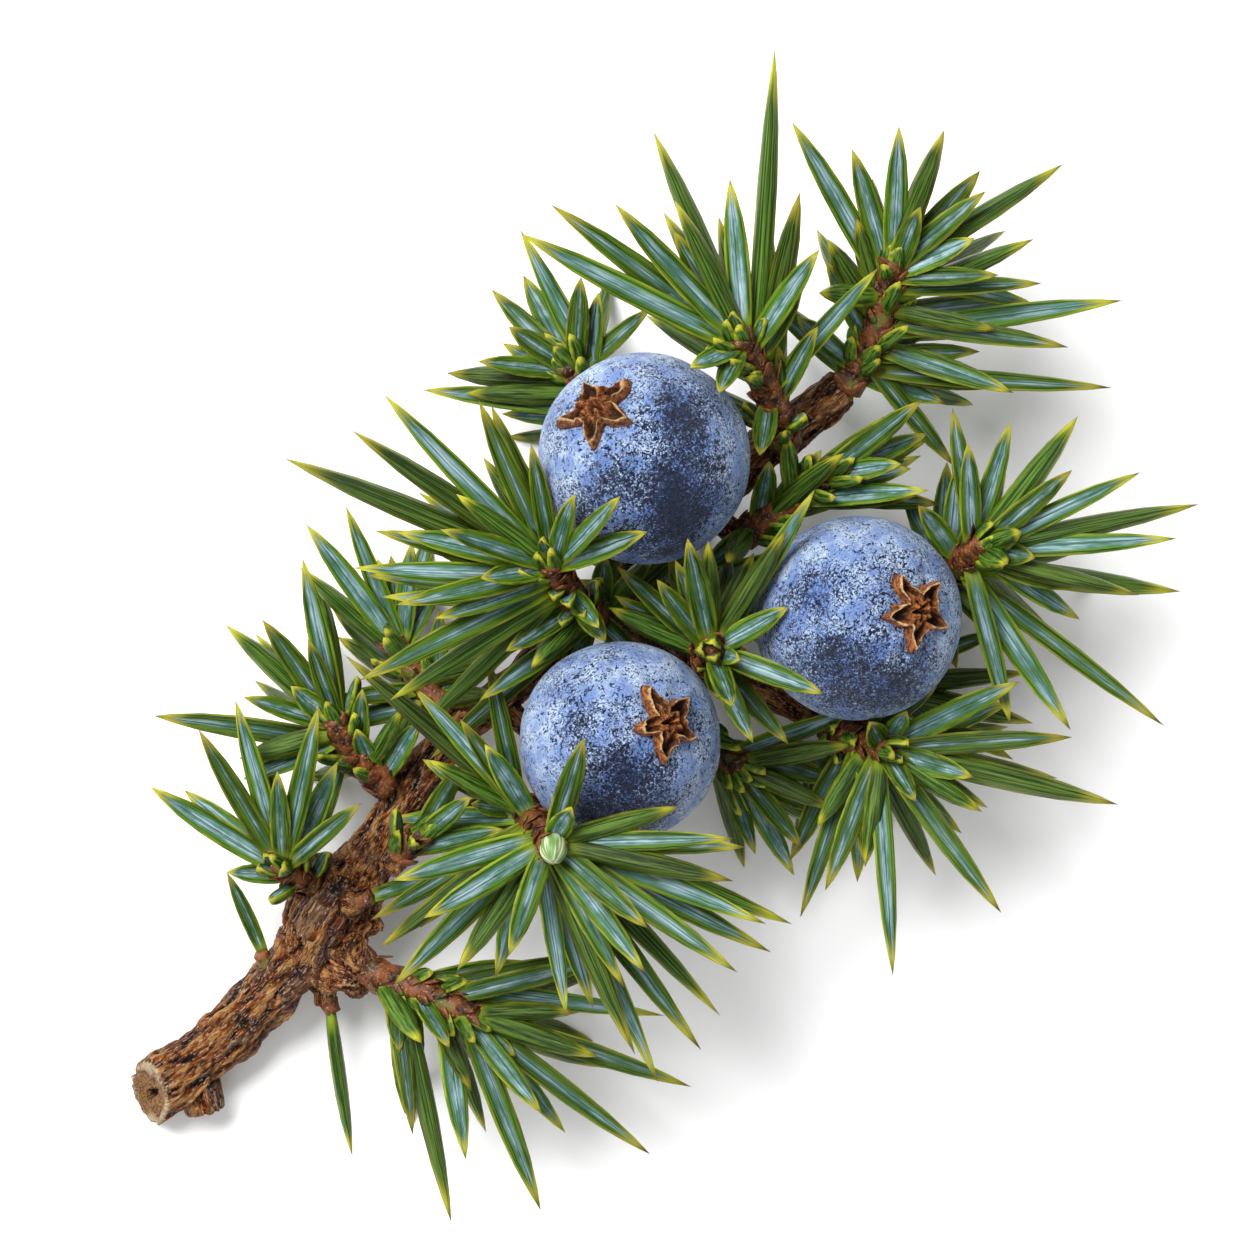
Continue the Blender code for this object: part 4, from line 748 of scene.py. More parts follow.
def needle_finish():
    """Waxy green blades: a pale blue band down the face, green flanks and yellow edges and tips."""
    finish = Finish("needle_leaf", specular_ior_level=0.16)
    across, along_it, tint, edge = finish.leaf()
    face = finish.attribute("leaf", "Alpha")
    grain = finish.vector(across * 13, along_it * 1.6, tint * 90)
    streak = finish.mottle(grain, 1.0, 3.0, 0.6)
    fine = finish.mottle(finish.vector(across * 36, along_it * 5, tint * 50), 1.0, 2.0, 0.6)
    cloud = finish.mottle(finish.vector(across * 2, along_it * 4, tint * 70), 1.0, 3.0, 0.6)

    wax = finish.mix((streak * 0.8 + cloud * 0.7).step(0.66, 0.98), TEAL, PALE_WAX)
    wax = finish.mix(fine.step(0.52, 0.62) * 0.5, wax, DEEP_TEAL)
    leaf_green = finish.mix((streak * 0.7 + fine * 0.4).step(0.46, 0.62), LEAF_DARK, LEAF_GREEN)
    lit_edge = (edge + fine * 0.1).step(0.78, 1.04) * (0.3 + 0.7 * cloud.step(0.40, 0.60))
    margin = finish.mix(lit_edge, leaf_green, LEAF_EDGE)
    waxy = 0.20 + tint * 0.36
    band = (1 - (edge + (streak - 0.5) * 0.5).step(waxy - 0.16, waxy + 0.14)) * cloud.step(0.2, 0.5)
    upper = finish.mix(band, margin, wax)
    wandered = across + (cloud - 0.5) * 0.12
    rib = abs(wandered - 0.46)
    upper = finish.mix((1 - rib.step(0.012, 0.035)) * 0.6, upper, DEEP_TEAL)
    beside = abs(wandered - 0.54)
    upper = finish.mix((1 - beside.step(0.010, 0.040)) * cloud.step(0.42, 0.62) * 0.8, upper,
                       PALE_WAX)

    under = finish.mix((streak * 0.8 + fine * 0.4).step(0.50, 0.72), KEEL_GREEN, KEEL_BLUE)
    under = finish.mix(lit_edge, under, LEAF_EDGE)
    colour = finish.mix(face, under, upper)

    fresh = (1 - (along_it + (streak - 0.5) * 0.1).step(0.03, 0.17)) * 0.85
    colour = finish.mix(fresh, colour, LEAF_BASE)
    ripe = (along_it + edge * 0.07 + (streak - 0.5) * 0.14).step(0.82, 0.985)
    colour = finish.mix(ripe, colour, LEAF_TIP)
    colour = finish.mix(along_it.step(0.968, 0.99), colour, LEAF_POINT)
    colour = finish.node("ShaderNodeHueSaturation", {},
                         {"Hue": 0.49 + tint * 0.02, "Value": 0.66 + tint * 0.5, "Color": colour})
    finish.show(base_color=colour, roughness=0.34 + band * face * 0.12 + streak * 0.1,
                normal=finish.bump(streak + fine * 0.6, 0.08, 0.9))
    return finish.material


def scale_finish():
    """Dry red-brown scales on the cores of the shoots, with green where leaves join them and pale
    specks painted as glints.
    """
    finish = Finish("dry_scale", specular_ior_level=0.3)
    place = finish.place()
    blotch = finish.mottle(place, 1.3, 3.0, 0.6)
    speck = finish.mottle(place, 7.0, 3.0, 0.65)
    colour = finish.mix(blotch.step(0.36, 0.62), SCALE_DARK, SCALE_BROWN)
    # pale specks: painted glints, where the scales are glossier too
    colour = finish.mix(speck.step(0.55, 0.72), colour, SCALE_GLINT)
    green = finish.mottle(place, 0.9, 2.0, 0.5)
    colour = finish.mix(green.step(0.60, 0.70) * 0.6, colour, SCALE_GREEN)
    finish.show(base_color=colour, roughness=0.62 - speck * 0.35,
                normal=finish.bump(speck, 0.08, 0.8))
    return finish.material


def bud_finish():
    """The young leaves of a closed bud: pale green with whitish lines."""
    finish = Finish("young_leaf", specular_ior_level=0.3)
    across, along_it, tint, edge = finish.leaf()
    line = finish.mottle(finish.vector(across * 9, along_it * 1.2, tint * 30), 1.0, 2.0, 0.5)
    colour = finish.mix(line.step(0.45, 0.66), BUD_GREEN, BUD_PALE)
    colour = finish.mix(edge.step(0.80, 0.98) * 0.8, colour, BUD_TIP)
    colour = finish.mix(along_it.step(0.9, 0.99), colour, BUD_TIP)
    finish.show(base_color=colour, roughness=0.38 + line * 0.1, normal=finish.bump(line, 0.05))
    return finish.material


def bark_finish():
    """Fibrous red-brown bark: tan ridges and dark crevices, partly its own colour and partly
    painted highlight and painted shade; grey-violet weathering; and at the cut a pale rim round
    brown wood, with painted shade in the slot in its middle and in the hollow of the broken knob."""
    finish = Finish("bark", specular_ior_level=0.16)
    grain = finish.attribute("grain")
    relief = finish.attribute("relief", "Fac")
    rim, wood, dark = finish.parts_of(finish.attribute("cut"))
    fibre = finish.mottle(finish.stretch(grain, (7, 7, 1.2)), 1.0, 5.0, 0.65, 0.9)
    thread = finish.mottle(finish.stretch(grain, (22, 22, 2.4)), 1.0, 3.0, 0.6, 0.2)
    vein = finish.mottle(finish.stretch(grain, (4.5, 4.5, 0.8)), 1.0, 3.0, 0.6, 1.6)
    crack = 1 - abs(vein - 0.5).step(0.004, 0.030)
    blotch = finish.mottle(finish.stretch(grain, (0.7, 0.7, 0.3)), 1.0, 3.0, 0.55)
    crumb = finish.mottle(finish.stretch(grain, (9, 9, 5)), 1.0, 4.0, 0.65)

    # The ramp is darkest low in the relief and lightest high on it: partly the bark's own colour,
    # partly painted shade in the crevices and painted highlight on the ridges.
    high = relief * 0.75 + fibre * 0.70 + thread * 0.5 - 0.53
    colour = finish.ramp(high, (0.28, BARK_CRACK_AND_SHADE), (0.38, BARK_DARK), (0.48, BARK_RED),
                         (0.58, BARK_BROWN), (0.70, BARK_TAN))
    colour = finish.mix(blotch.step(0.54, 0.62) * 0.65, colour,
                        finish.mix((crumb * 0.6 + fibre * 0.4).step(0.44, 0.60), WEATHER_DARK,
                                   WEATHER_VIOLET))
    colour = finish.mix((thread * 0.6 + crumb * 0.6).step(0.64, 0.71) * 0.85, colour, BARK_FLECK)
    colour = finish.mix(crack * crumb.step(0.36, 0.50) * 0.85, colour, BARK_CRACK_AND_SHADE)
    heart = finish.mix(crumb.step(0.40, 0.56), WOOD_DARK, WOOD_BROWN)
    colour = finish.mix(wood, colour, heart)
    colour = finish.mix(rim * (0.7 + 0.3 * fibre), colour,
                        finish.mix((crumb * 0.5 + blotch * 0.5).step(0.49, 0.57), WOOD_CREAM,
                                   WOOD_TAN))
    # painted shade in the slot in the cut and in the hollow of the broken knob
    colour = finish.mix(dark, colour, BARK_CRACK_AND_SHADE)
    finish.show(base_color=colour, roughness=0.72 - crumb * 0.36,
                normal=finish.bump(fibre + thread * 0.5 + crumb * 0.4 - crack * 0.5, 0.34, 1.0))
    return finish.material


def skin_finish():
    """Waxy powder-blue bloom on dark blue skin, finely speckled and darker in patches, partly where
    the bloom has come off and partly painted shade.
    """
    finish = Finish("berry_bloom", specular_ior_level=0.25, sheen_weight=0.12,
                    sheen_roughness=0.3)
    place = finish.place()
    rubbed = finish.attribute("rubbed", "Fac")
    patch = finish.mottle(place, 0.33, 3.0, 0.55)
    cloud = finish.mottle(place, 0.9, 4.0, 0.6)
    grit = finish.mottle(place, 8.5, 4.0, 0.7, 0.6)
    dash = finish.mottle(place, 4.2, 3.0, 0.6, 1.4)
    dots = finish.dots(place, 2.6)

    # the patches are partly bloom come off and partly painted shade
    worn = patch * 0.55 + cloud * 0.4 + rubbed * 0.42
    bare_and_shaded = (grit * 1.3 + worn * 0.8).step(1.02, 1.16)
    bloom = finish.mix(cloud.step(0.36, 0.64), BLOOM_BLUE, BLOOM_PALE)
    bloom = finish.mix(grit.step(0.48, 0.66) * 0.6, bloom, BLOOM_WHITE)
    colour = finish.mix(bare_and_shaded * 0.85, bloom, SKIN_BLUE)
    colour = finish.mix((worn + grit * 1.3).step(1.24, 1.42) * 0.9, colour, SKIN_DARK)
    colour = finish.mix((dash + worn * 0.25).step(0.67, 0.71), colour, SKIN_DARK)
    specks = (1 - dots.step(0.14, 0.22)) * (cloud * 0.5 + patch * 0.5).step(0.44, 0.54)
    colour = finish.mix(specks * 0.9, colour, SKIN_DARK)
    finish.show(base_color=colour, roughness=0.56 - bare_and_shaded * 0.12,
                normal=finish.bump(grit - dash * 1.2 - specks * 0.4, 0.10, 1.0))
    return finish.material


def crown_finish():
    """Dry copper-brown calyx: pale edges and ring, partly their own colour and partly painted
    highlight, with painted shade in its hollows.
    """
    finish = Finish("dry_crown", specular_ior_level=0.35)
    place = finish.place()
    hollow, worn = finish.attribute("hollow", "Fac"), finish.attribute("worn", "Fac")
    crease = finish.mottle(place, 5.0, 4.0, 0.65, 0.5)
    speck = finish.mottle(place, 14.0, 3.0, 0.6)
    colour = finish.mix(crease.step(0.42, 0.60), CROWN_DARK, CROWN_COPPER)
    # pale on the edge and ring: partly their own colour, partly painted highlight
    colour = finish.mix((crease * 0.8 + worn * 0.5 + speck * 0.3).step(0.78, 1.04), colour,
                        CROWN_TAN)
    # painted shade in the cups and the middle hole
    colour = finish.mix(hollow * 0.85, colour, CROWN_HOLLOW_SHADE)
    finish.show(base_color=colour, roughness=0.56 - crease * 0.2,
                normal=finish.bump(crease + speck * 0.5, 0.16, 1.0))
    return finish.material


def floor_finish():
    """A plain pale matt surface."""
    finish = Finish("floor", roughness=0.9)
    tooth = finish.mottle(finish.place(), 0.02, 2.0)
    finish.show(base_color=finish.mix(tooth, FLOOR_PALE, FLOOR_WHITE))
    return finish.material


# ---- routes and tubes, as the solids have them ---------------------------------------------

def ball(sides, rings):
    """A closed ball of radius 1."""
    bm = bmesh.new()
    bmesh.ops.create_uvsphere(bm, u_segments=sides, v_segments=rings, radius=1)
    return bm


def straight_tube(sides, rings):
    """A closed tube of radius 1 along +Z from 0 to 1, with rings of corners along it."""
    bm = bmesh.new()
    bmesh.ops.create_cone(bm, cap_ends=True, segments=sides, radius1=1, radius2=1, depth=1)
    bmesh.ops.translate(bm, vec=(0, 0, 0.5), verts=bm.verts)
    if rings > 2:
        lengthwise = [e for e in bm.edges if abs(e.verts[0].co.z - e.verts[1].co.z) > 0.5]
        bmesh.ops.subdivide_edges(bm, edges=lengthwise, cuts=rings - 2, use_grid_fill=True)
    return bm


def pick(value, share):
    """The value at a share of the way along evenly spaced values; or a single value."""
    if not isinstance(value, tuple):
        return value
    place = share * (len(value) - 1)
    index = min(int(place), len(value) - 2)
    return value[index] + (value[index + 1] - value[index]) * (place - index)


def length_of(route):
    """How long a route is."""
    return sum((Vector(b) - Vector(a)).length for a, b in zip(route, route[1:]))


def bell(off, reach):
    """1 where there is no offset, and next to nothing at twice the reach."""
    return math.exp(-(off / reach) ** 2)


def along(route, share):
    """The point at a share of a route's length, which way it runs there, and between which
    two of its points that is."""
    points = [Vector(point) for point in route]
    legs = [(end - start).length for start, end in zip(points, points[1:])]
    left = share * sum(legs)
    for index, leg in enumerate(legs):
        if left <= leg or index == len(legs) - 1:
            break
        left -= leg
    part = min(left / leg, 1)
    start, end = points[index], points[index + 1]
    return start.lerp(end, part), (end - start).normalized(), index + part


def square_to(ahead):
    """Two directions square to a third: one level, one as far up as it can be."""
    side = UP.cross(ahead)
    side = side.normalized() if side.length > 0.05 else Vector((0, 1, 0))
    return side, ahead.cross(side)


def outward_at(axis, degrees):
    """A direction square to an axis, turned about it."""
    side, up = square_to(axis)
    turn = math.radians(degrees)
    return math.cos(turn) * side + math.sin(turn) * up


def squared(way, ahead):
    """The part of a direction that is square to another."""
    return (way - way.dot(ahead) * ahead).normalized()


def tube(route, radii, sides, rings, swell=0.0):
    """A straight tube bent along a route."""
    bm = straight_tube(sides, rings)
    steps = len(route) - 1
    for corner in bm.verts:
        point, ahead, place = along(route, corner.co.z)
        before = min(int(place), steps - 1)
        radius = pick((radii[before], radii[before + 1]), place - before)
        side, up = square_to(ahead)
        corner.co = point + (radius + swell) * (corner.co.x * side + corner.co.y * up)
    return bm


def foot_route(shoot):
    """The twig under a shoot: from inside the wood to a small gap below the shoot. The more it
    leans from the shoot, the shorter it stops."""
    start = along(WOODS[shoot.wood].route, shoot.share)[0]
    first, second = Vector(shoot.route[0]), Vector(shoot.route[1])
    ahead = (second - first).normalized()
    lean = ahead.cross((first - start).normalized()).length
    return start, first - (GAP + lean * FOOT_RADII[1]) * ahead


def stalk_route(berry):
    """A berry's stalk: from inside the wood to a small gap below the berry."""
    start = along(WOODS[berry.wood].route, berry.share)[0]
    under = -Vector(berry.crown_way).normalized()
    reach = berry.radius * berry.stretch + GAP
    centre = Vector(berry.centre)
    return start, centre + (reach + STALK_TOP) * under, centre + reach * under


def cut_foot(bm):
    """Cuts the stem off at its foot, at a slant."""
    everything = bm.verts[:] + bm.edges[:] + bm.faces[:]
    cut = bmesh.ops.bisect_plane(bm, geom=everything, plane_co=CUT_PLACE, plane_no=CUT_WAY,
                                 clear_outer=True)
    rim = [item for item in cut["geom_cut"] if isinstance(item, bmesh.types.BMEdge)]
    bmesh.ops.holes_fill(bm, edges=rim)


def wood_tubes(swell):
    """Every stretch of wood, as a mesh of its own, the main stem first."""
    tubes = []
    for wood in WOODS.values():
        rings = max(3, round(length_of(wood.route) / WOOD_RING))
        tubes.append(tube(wood.route, wood.radii, wood.sides, rings, swell))
    cut_foot(tubes[0])
    for shoot in SHOOTS:
        tubes.append(tube(foot_route(shoot), FOOT_RADII, 6, 2, swell))
    for berry in BERRIES:
        tubes.append(tube(stalk_route(berry), STALK_RADII, 6, 3, swell))
    return tubes


# ---- berries and crowns, as the solids have them -------------------------------------------

def dimple(reach, turn):
    """How far a berry's skin sinks at a distance from its crown's middle, with a fold for each
    of the crown's lobes."""
    fold = 1 + DIMPLE_FOLD * math.cos(CROWN_LOBES * turn)
    return BERRY_DIMPLE * fold * bell(reach, DIMPLE_REACH)


def skin_height(berry, reach, turn):
    """How high over a berry's middle its skin is, with its crown looking up."""
    return math.sqrt(berry.radius ** 2 - reach ** 2) * berry.stretch - dimple(reach, turn)


def berry_mesh(berry, swell=0.0):
    """A berry, which may be swollen by the room it wants."""
    bm = ball(BERRY_SIDES, BERRY_RINGS)
    for corner in bm.verts:
        x, y, z = corner.co * (berry.radius + swell)
        z *= berry.stretch
        if corner.co.z > 0:
            z -= dimple(math.hypot(x, y), math.atan2(y, x))
        corner.co = (x, y, z)
    return turned(bm, berry)


def crown_mesh(berry):
    """A dry star of five lobes, each hollowed to a cup, round a small ring in the middle."""
    bm = ball(4 * CROWN_LOBES, 8)
    for corner in bm.verts:
        turn = math.atan2(corner.co.y, corner.co.x)
        off_lobe = abs((turn * CROWN_LOBES / math.tau + 0.5) % 1 - 0.5) * 2
        outline = CROWN_WAIST + (CROWN_REACH - CROWN_WAIST) * (1 - off_lobe) ** CROWN_POINT
        share = math.hypot(corner.co.x, corner.co.y)
        reach = outline * share
        x, y = reach * math.cos(turn), reach * math.sin(turn)
        under = skin_height(berry, reach, turn) + GAP
        cup = CUP_DEPTH * bell(share - CUP_PLACE, CUP_REACH) * (1 - off_lobe)
        ring = RING_HEIGHT * bell(share - RING_PLACE, RING_REACH)
        over = under + CROWN_THICKNESS - cup + ring + RIM_RISE * share ** 2
        corner.co = (x, y, over if corner.co.z > 0.01 else under)
        if share > 0.99:
            corner.co.z = under + EDGE_RISE
    return turned(bm, berry)


def turned(bm, berry):
    """Turns a mesh whose crown looks up so that it looks the berry's way, at the berry."""
    turn = UP.rotation_difference(Vector(berry.crown_way))
    bmesh.ops.rotate(bm, cent=(0, 0, 0), matrix=turn.to_matrix(), verts=bm.verts)
    bmesh.ops.translate(bm, vec=berry.centre, verts=bm.verts)
    return bm


# ---- needles, as the solids have them ------------------------------------------------------

Needle = namedtuple("Needle", "root ahead face length arch sweep")
EDGE = math.cos(math.radians(30))      # how far the edges of the straight needle stand out


def middle(needle, share):
    """A point of a needle's middle line: nearly straight, and bent level at the surface."""
    side = needle.ahead.cross(needle.face)
    bend = needle.arch * needle.face + needle.sweep * side
    point = needle.root + needle.length * (share * needle.ahead + share ** 2 * bend)
    above = NEEDLE_GIVE * (point.z - NEEDLE_REST)
    if above < 20:
        point.z = NEEDLE_REST + math.log1p(math.exp(above)) / NEEDLE_GIVE
    return point


def section_at(needle, share):
    """The middle of a needle's section, and which ways its side and its face look there."""
    ahead = (middle(needle, share + 0.02) - middle(needle, share - 0.02)).normalized()
    side = ahead.cross(needle.face).normalized()
    return middle(needle, share), side, side.cross(ahead)


def depth_share(wide):
    """How deep a needle is where it has a share of its full width."""
    return NEEDLE_LEAST + (1 - NEEDLE_LEAST) * wide


def pointed_tube(sides, rings):
    """A straight tube whose end is drawn to a point."""
    bm = straight_tube(sides, rings)
    tip = [corner for corner in bm.verts if corner.co.z > 0.99]
    bmesh.ops.pointmerge(bm, verts=tip, merge_co=(0, 0, 1))
    return bm


def straight_needle():
    """The corners and faces of a needle before it is bent. It has three sides: its keel is at
    -Y and its edges are above, and Z counts its stations."""
    bm = pointed_tube(3, len(NEEDLE_STATIONS))
    keel = next(corner.co for corner in bm.verts if corner.co.z < 0.01)
    turn = Matrix.Rotation(math.atan2(-1, 0) - math.atan2(keel.y, keel.x), 3, "Z")
    bmesh.ops.rotate(bm, cent=(0, 0, 0), matrix=turn, verts=bm.verts)
    return kept(bm)


def bent(corner, needle, swell):
    """Where a corner of the straight needle lies once the needle is bent and placed."""
    station = round(corner.z * (len(NEEDLE_STATIONS) - 1))
    point, side, up = section_at(needle, NEEDLE_STATIONS[station])
    wide = NEEDLE_WIDTH / 2 * NEEDLE_SHARES[station] + swell
    tall = NEEDLE_FACE if corner.y > 0 else -NEEDLE_KEEL
    tall = tall * depth_share(NEEDLE_SHARES[station]) + math.copysign(swell, corner.y)
    return point + corner.x / EDGE * wide * side + tall * up


def body_of(needle, shape, swell, from_station=0):
    """A needle's surface, swollen by the room it wants, to test for clashes."""
    lowest = from_station / (len(NEEDLE_STATIONS) - 1) - 0.01
    corners = [bent(corner.co, needle, swell) for corner in shape.vertices]
    faces = [face.vertices[:] for face in shape.polygons
             if all(shape.vertices[k].co.z > lowest for k in face.vertices)]
    return BVHTree.FromPolygons(corners, faces)


def clear_of(body, others):
    """Whether a surface crosses none of some others."""
    return not any(body.overlap(other) for other in others)


def ways_to_give():
    """Small turns and lifts that a needle may take, the smallest first."""
    steps = [GIVE_STEP * count for count in range(-GIVE_STEPS, GIVE_STEPS + 1)]
    ways = [(turn, lift) for turn in steps for lift in steps]
    return sorted(ways, key=lambda way: way[0] ** 2 + LIFT_COST * way[1] ** 2)


def wished_needles(shoot, draw):
    """Each needle of a shoot as it would grow with nothing in its way: its root, the way its
    shoot runs there, its bearing, rise and length, and how it curves and lies."""
    last = max(0, 1 - LAST_ROOT / length_of(shoot.route))
    for fan in shoot.fans:
        for index in range(fan.count):
            share = index / max(1, fan.count - 1)
            root, axis, _ = along(shoot.route, min(pick(fan.where, share), last))
            bearing = pick(fan.bearing, share) + draw.uniform(-STRAY_BEARING, STRAY_BEARING)
            rise = pick(fan.rise, share) + draw.uniform(-STRAY_RISE, STRAY_RISE)
            length = pick(fan.length, share) * draw.uniform(1 - STRAY_LENGTH, 1 + STRAY_LENGTH)
            curve = (draw.uniform(*ARCH), draw.uniform(*SWEEP))
            face_up = 1 if draw.random() < FACE_UP_SHARE and rise > LYING_RISE else -1
            yield root, axis, bearing, rise, length, curve, face_up


def aim(root, axis, bearing, rise, length, curve, face_up):
    """A needle in a given direction. Its face leans to the shoot's tip, and up or down."""
    bearing, rise = math.radians(bearing), math.radians(min(rise, STEEPEST))
    ahead = Vector((math.cos(bearing) * math.cos(rise), math.sin(bearing) * math.cos(rise),
                    math.sin(rise)))
    face = face_up * squared(FACE_LEAN * axis + UP, ahead)
    return Needle(root + NEEDLE_SINK * ahead, ahead, face, length, *curve)


def settle(wish, shape, others, own):
    """Turns, lifts or shortens a needle until it is clear of what stands round it."""
    root, axis, bearing, rise, length, curve, face_up = wish
    for shorter in SHORTER:
        for turn, lift in ways_to_give():
            needle = aim(root, axis, bearing + turn, rise + lift, length * shorter, curve,
                         face_up)
            if not clear_of(body_of(needle, shape, GAP / 2), others):
                continue
            if clear_of(body_of(needle, shape, -SHARED_ROOT, 1), own):
                return needle
    return None


def grow_needles():
    """The needles of every shoot, each turned, lifted or shortened clear of the wood, the berries,
    the other shoots and the outer part of its own neighbours; and, where there is room, its inner
    leaves."""
    draw = random.Random(SEED)
    shape = straight_needle()
    solids = wood_tubes(GAP / 2)
    for berry in BERRIES:
        solids.append(berry_mesh(berry, GAP / 2))
        solids.append(crown_mesh(berry))
    taken = [BVHTree.FromBMesh(bm) for bm in solids]
    cores = {shoot.name: BVHTree.FromBMesh(core_mesh(shoot)) for shoot in SHOOTS}
    grown = {}
    for shoot in SHOOTS:
        others = taken + [core for name, core in cores.items() if name != shoot.name]
        needles, own = [], []
        for wish in wished_needles(shoot, draw):
            needle = settle(wish, shape, others, own)
            if needle:
                needles.append(needle)
                own.append(body_of(needle, shape, -SHARED_ROOT, 1))
        taken += [body_of(needle, shape, GAP / 2) for needle in needles]
        grown[shoot.name] = needles
    for shoot in SHOOTS:
        filled = shoot._replace(fans=INNER_FANS.get(shoot.name, ()))
        for wish in wished_needles(filled, draw):
            needle = settle(wish, shape, taken, [])
            if needle:
                grown[shoot.name].append(needle)
                taken.append(body_of(needle, shape, -SHARED_ROOT, 1))
    for bm in solids:
        bm.free()
    return grown


def core_radii(shoot):
    """The radius of a shoot's core at each point of its route."""
    steps = len(shoot.route) - 1
    girth = CORE_LEAST + (1 - CORE_LEAST) * min(1, length_of(shoot.route) / CORE_REACH)
    return [girth * pick(CORE_RADII, index / steps) for index in range(steps + 1)]


def core_mesh(shoot):
    """A shoot's slim core."""
    return tube(shoot.route, core_radii(shoot), 6, 2 * len(shoot.route) - 1)


# ---- bringing a piece into the frame -------------------------------------------------------

def layout_shift():
    """How far the solids were moved, in millimetres, to put the origin under their middle."""
    bm = berry_mesh(BERRIES[2])
    low = Vector([min(corner.co[axis] for corner in bm.verts) for axis in range(3)])
    bm.free()
    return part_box("berry_lower")[0] / MM - low


def kept(bm, name="part"):
    """A mesh of its own, for a bmesh that is finished with."""
    mesh = bpy.data.meshes.new(name)
    bm.to_mesh(mesh)
    bm.free()
    return mesh


def closed(bm, name):
    """A mesh whose faces all look outwards."""
    bmesh.ops.recalc_face_normals(bm, faces=bm.faces)
    return kept(bm, name)


def put(name, data):
    """Puts an object into the scene."""
    obj = bpy.data.objects.new(name, data)
    bpy.context.scene.collection.objects.link(obj)
    return obj


def piece(mesh, material, node):
    """Moves a mesh from the layout to the frame, gives it its finish, shades it smooth, hangs it
    under the root and hides the solid that it stands for.
    """
    mesh.transform(Matrix.Scale(MM, 4) @ Matrix.Translation(SHIFT))
    mesh.materials.append(material)
    mesh.polygons.foreach_set("use_smooth", [True] * len(mesh.polygons))
    obj = put(mesh.name, mesh)
    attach(obj, "root")
    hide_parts(node)


def eased(route, radii):
    """The same route with no kinks, and the radius at each point of it."""
    knots = [Vector((*point, radius)) for point, radius in zip(route, radii)]
    knots = [2 * knots[0] - knots[1], *knots, 2 * knots[-1] - knots[-2]]
    points = []
    for a, b, c, d in zip(knots, knots[1:], knots[2:], knots[3:]):
        for step in range(EASE_STEPS):
            t = step / EASE_STEPS
            points.append(b + 0.5 * ((c - a) * t + (2 * a - 5 * b + 4 * c - d) * t ** 2
                                     + (3 * b - 3 * c + d - a) * t ** 3))
    points.append(knots[-2])
    return [point.xyz for point in points], [point.w for point in points]


# ---- blades, scales and buds ---------------------------------------------------------------

def blade_template(sides, rings):
    """A leaf before it is bent: X and Y go round its section and Z counts its stations. Its
    leaf colour says how far across and along it a point is, and whether that is on the face."""
    bm = pointed_tube(sides, rings)
    leaf = bm.loops.layers.float_color.new("leaf")
    for face in bm.faces:
        upper = 1.0 if face.calc_center_median().y > 0.05 else 0.0
        for loop in face.loops:
            corner = loop.vert.co
            round_it = math.hypot(corner.x, corner.y)
            across = 0.5 + 0.5 * section(corner)[0] if round_it > 0.5 else 0.5
            loop[leaf] = (across, station(corner, rings), 0.5, upper)
    return closed(bm, "blade")


def section(corner):
    """How far across and how high a corner of the blade's section is."""
    turn = math.degrees(math.asin(max(-1, min(1, corner.y))))
    across, high = SECTION[round(turn / 45) * 45]
    return math.copysign(across, corner.x), high


def station(corner, rings):
    """How far along its leaf a corner of the template is."""
    place = round(corner.z * (rings - 1))
    return BLADE_STATIONS[place] if rings == len(BLADE_STATIONS) else corner.z


def blade_width(share):
    """How wide a blade is along it, as a share of its full width."""
    if share < BLADE_FULL:
        return BLADE_ROOT + (1 - BLADE_ROOT) * math.sin(share / BLADE_FULL * math.pi / 2)
    return 1 - ((share - BLADE_FULL) / (1 - BLADE_FULL)) ** BLADE_POINT


def copy_of(shape, bm, tint):
    """Adds a straight leaf to a mesh, gives it a tint, and hands back its corners."""
    first_corner, first_face = len(bm.verts), len(bm.faces)
    bm.from_mesh(shape)
    bm.verts.ensure_lookup_table()
    bm.faces.ensure_lookup_table()
    leaf = bm.loops.layers.float_color["leaf"]
    for face in bm.faces[first_face:]:
        for loop in face.loops:
            across, share, _, upper = loop[leaf]
            loop[leaf] = (across, share, tint, upper)
    return bm.verts[first_corner:]


def add_blade(bm, blade, needle, wide, tint):
    """Adds one needle leaf, bent and placed, to the leaves of a shoot."""
    for corner in copy_of(blade, bm, tint):
        share = station(corner.co, len(BLADE_STATIONS))
        point, side, up = section_at(needle, share)
        full = blade_width(share)
        across, high = section(corner.co) if share < 0.999 else (0, 0)
        corner.co = point + across * full * wide / 2 * side + high * depth_share(full) * up
        corner.co.z = max(corner.co.z, 0.0)


def young_leaf(root, ahead, outward, length, arch):
    """A short leaf that looks inwards."""
    ahead = ahead.normalized()
    return Needle(root, ahead, -squared(outward, ahead), length, arch, 0.0)


def young_leaves(shoot):
    """The short leaves that stand together at a shoot's tip, and the leaf buds on its core."""
    if length_of(shoot.route) < TUFT_REACH or shoot.name == BUD_SHOOT:
        return
    draw = random.Random(shoot.name)
    tip, axis, _ = along(shoot.route, 1)
    on, out = TUFT_ROOT
    for index in range(TUFT_LEAVES):
        stray = draw.uniform(-TUFT_STRAY, TUFT_STRAY)
        outward = outward_at(axis, 360 / TUFT_LEAVES * index + stray)
        ahead = axis + draw.uniform(*TUFT_LEANS) * outward
        yield young_leaf(tip + on * axis + out * outward, ahead, outward,
                         draw.uniform(*TUFT_LENGTHS), TUFT_ARCH)
    for _ in range(round(length_of(shoot.route) / LEAF_BUD_SPACING)):
        point, axis, _ = along(shoot.route, draw.uniform(*LEAF_BUD_PLACES))
        outward = outward_at(axis, draw.uniform(*LEAF_BUD_TURNS))
        ahead = draw.uniform(*LEAF_BUD_LEANS) * axis + outward
        yield young_leaf(point + LEAF_BUD_ROOT * outward, ahead, outward,
                         draw.uniform(*LEAF_BUD_LENGTHS), LEAF_BUD_ARCH)


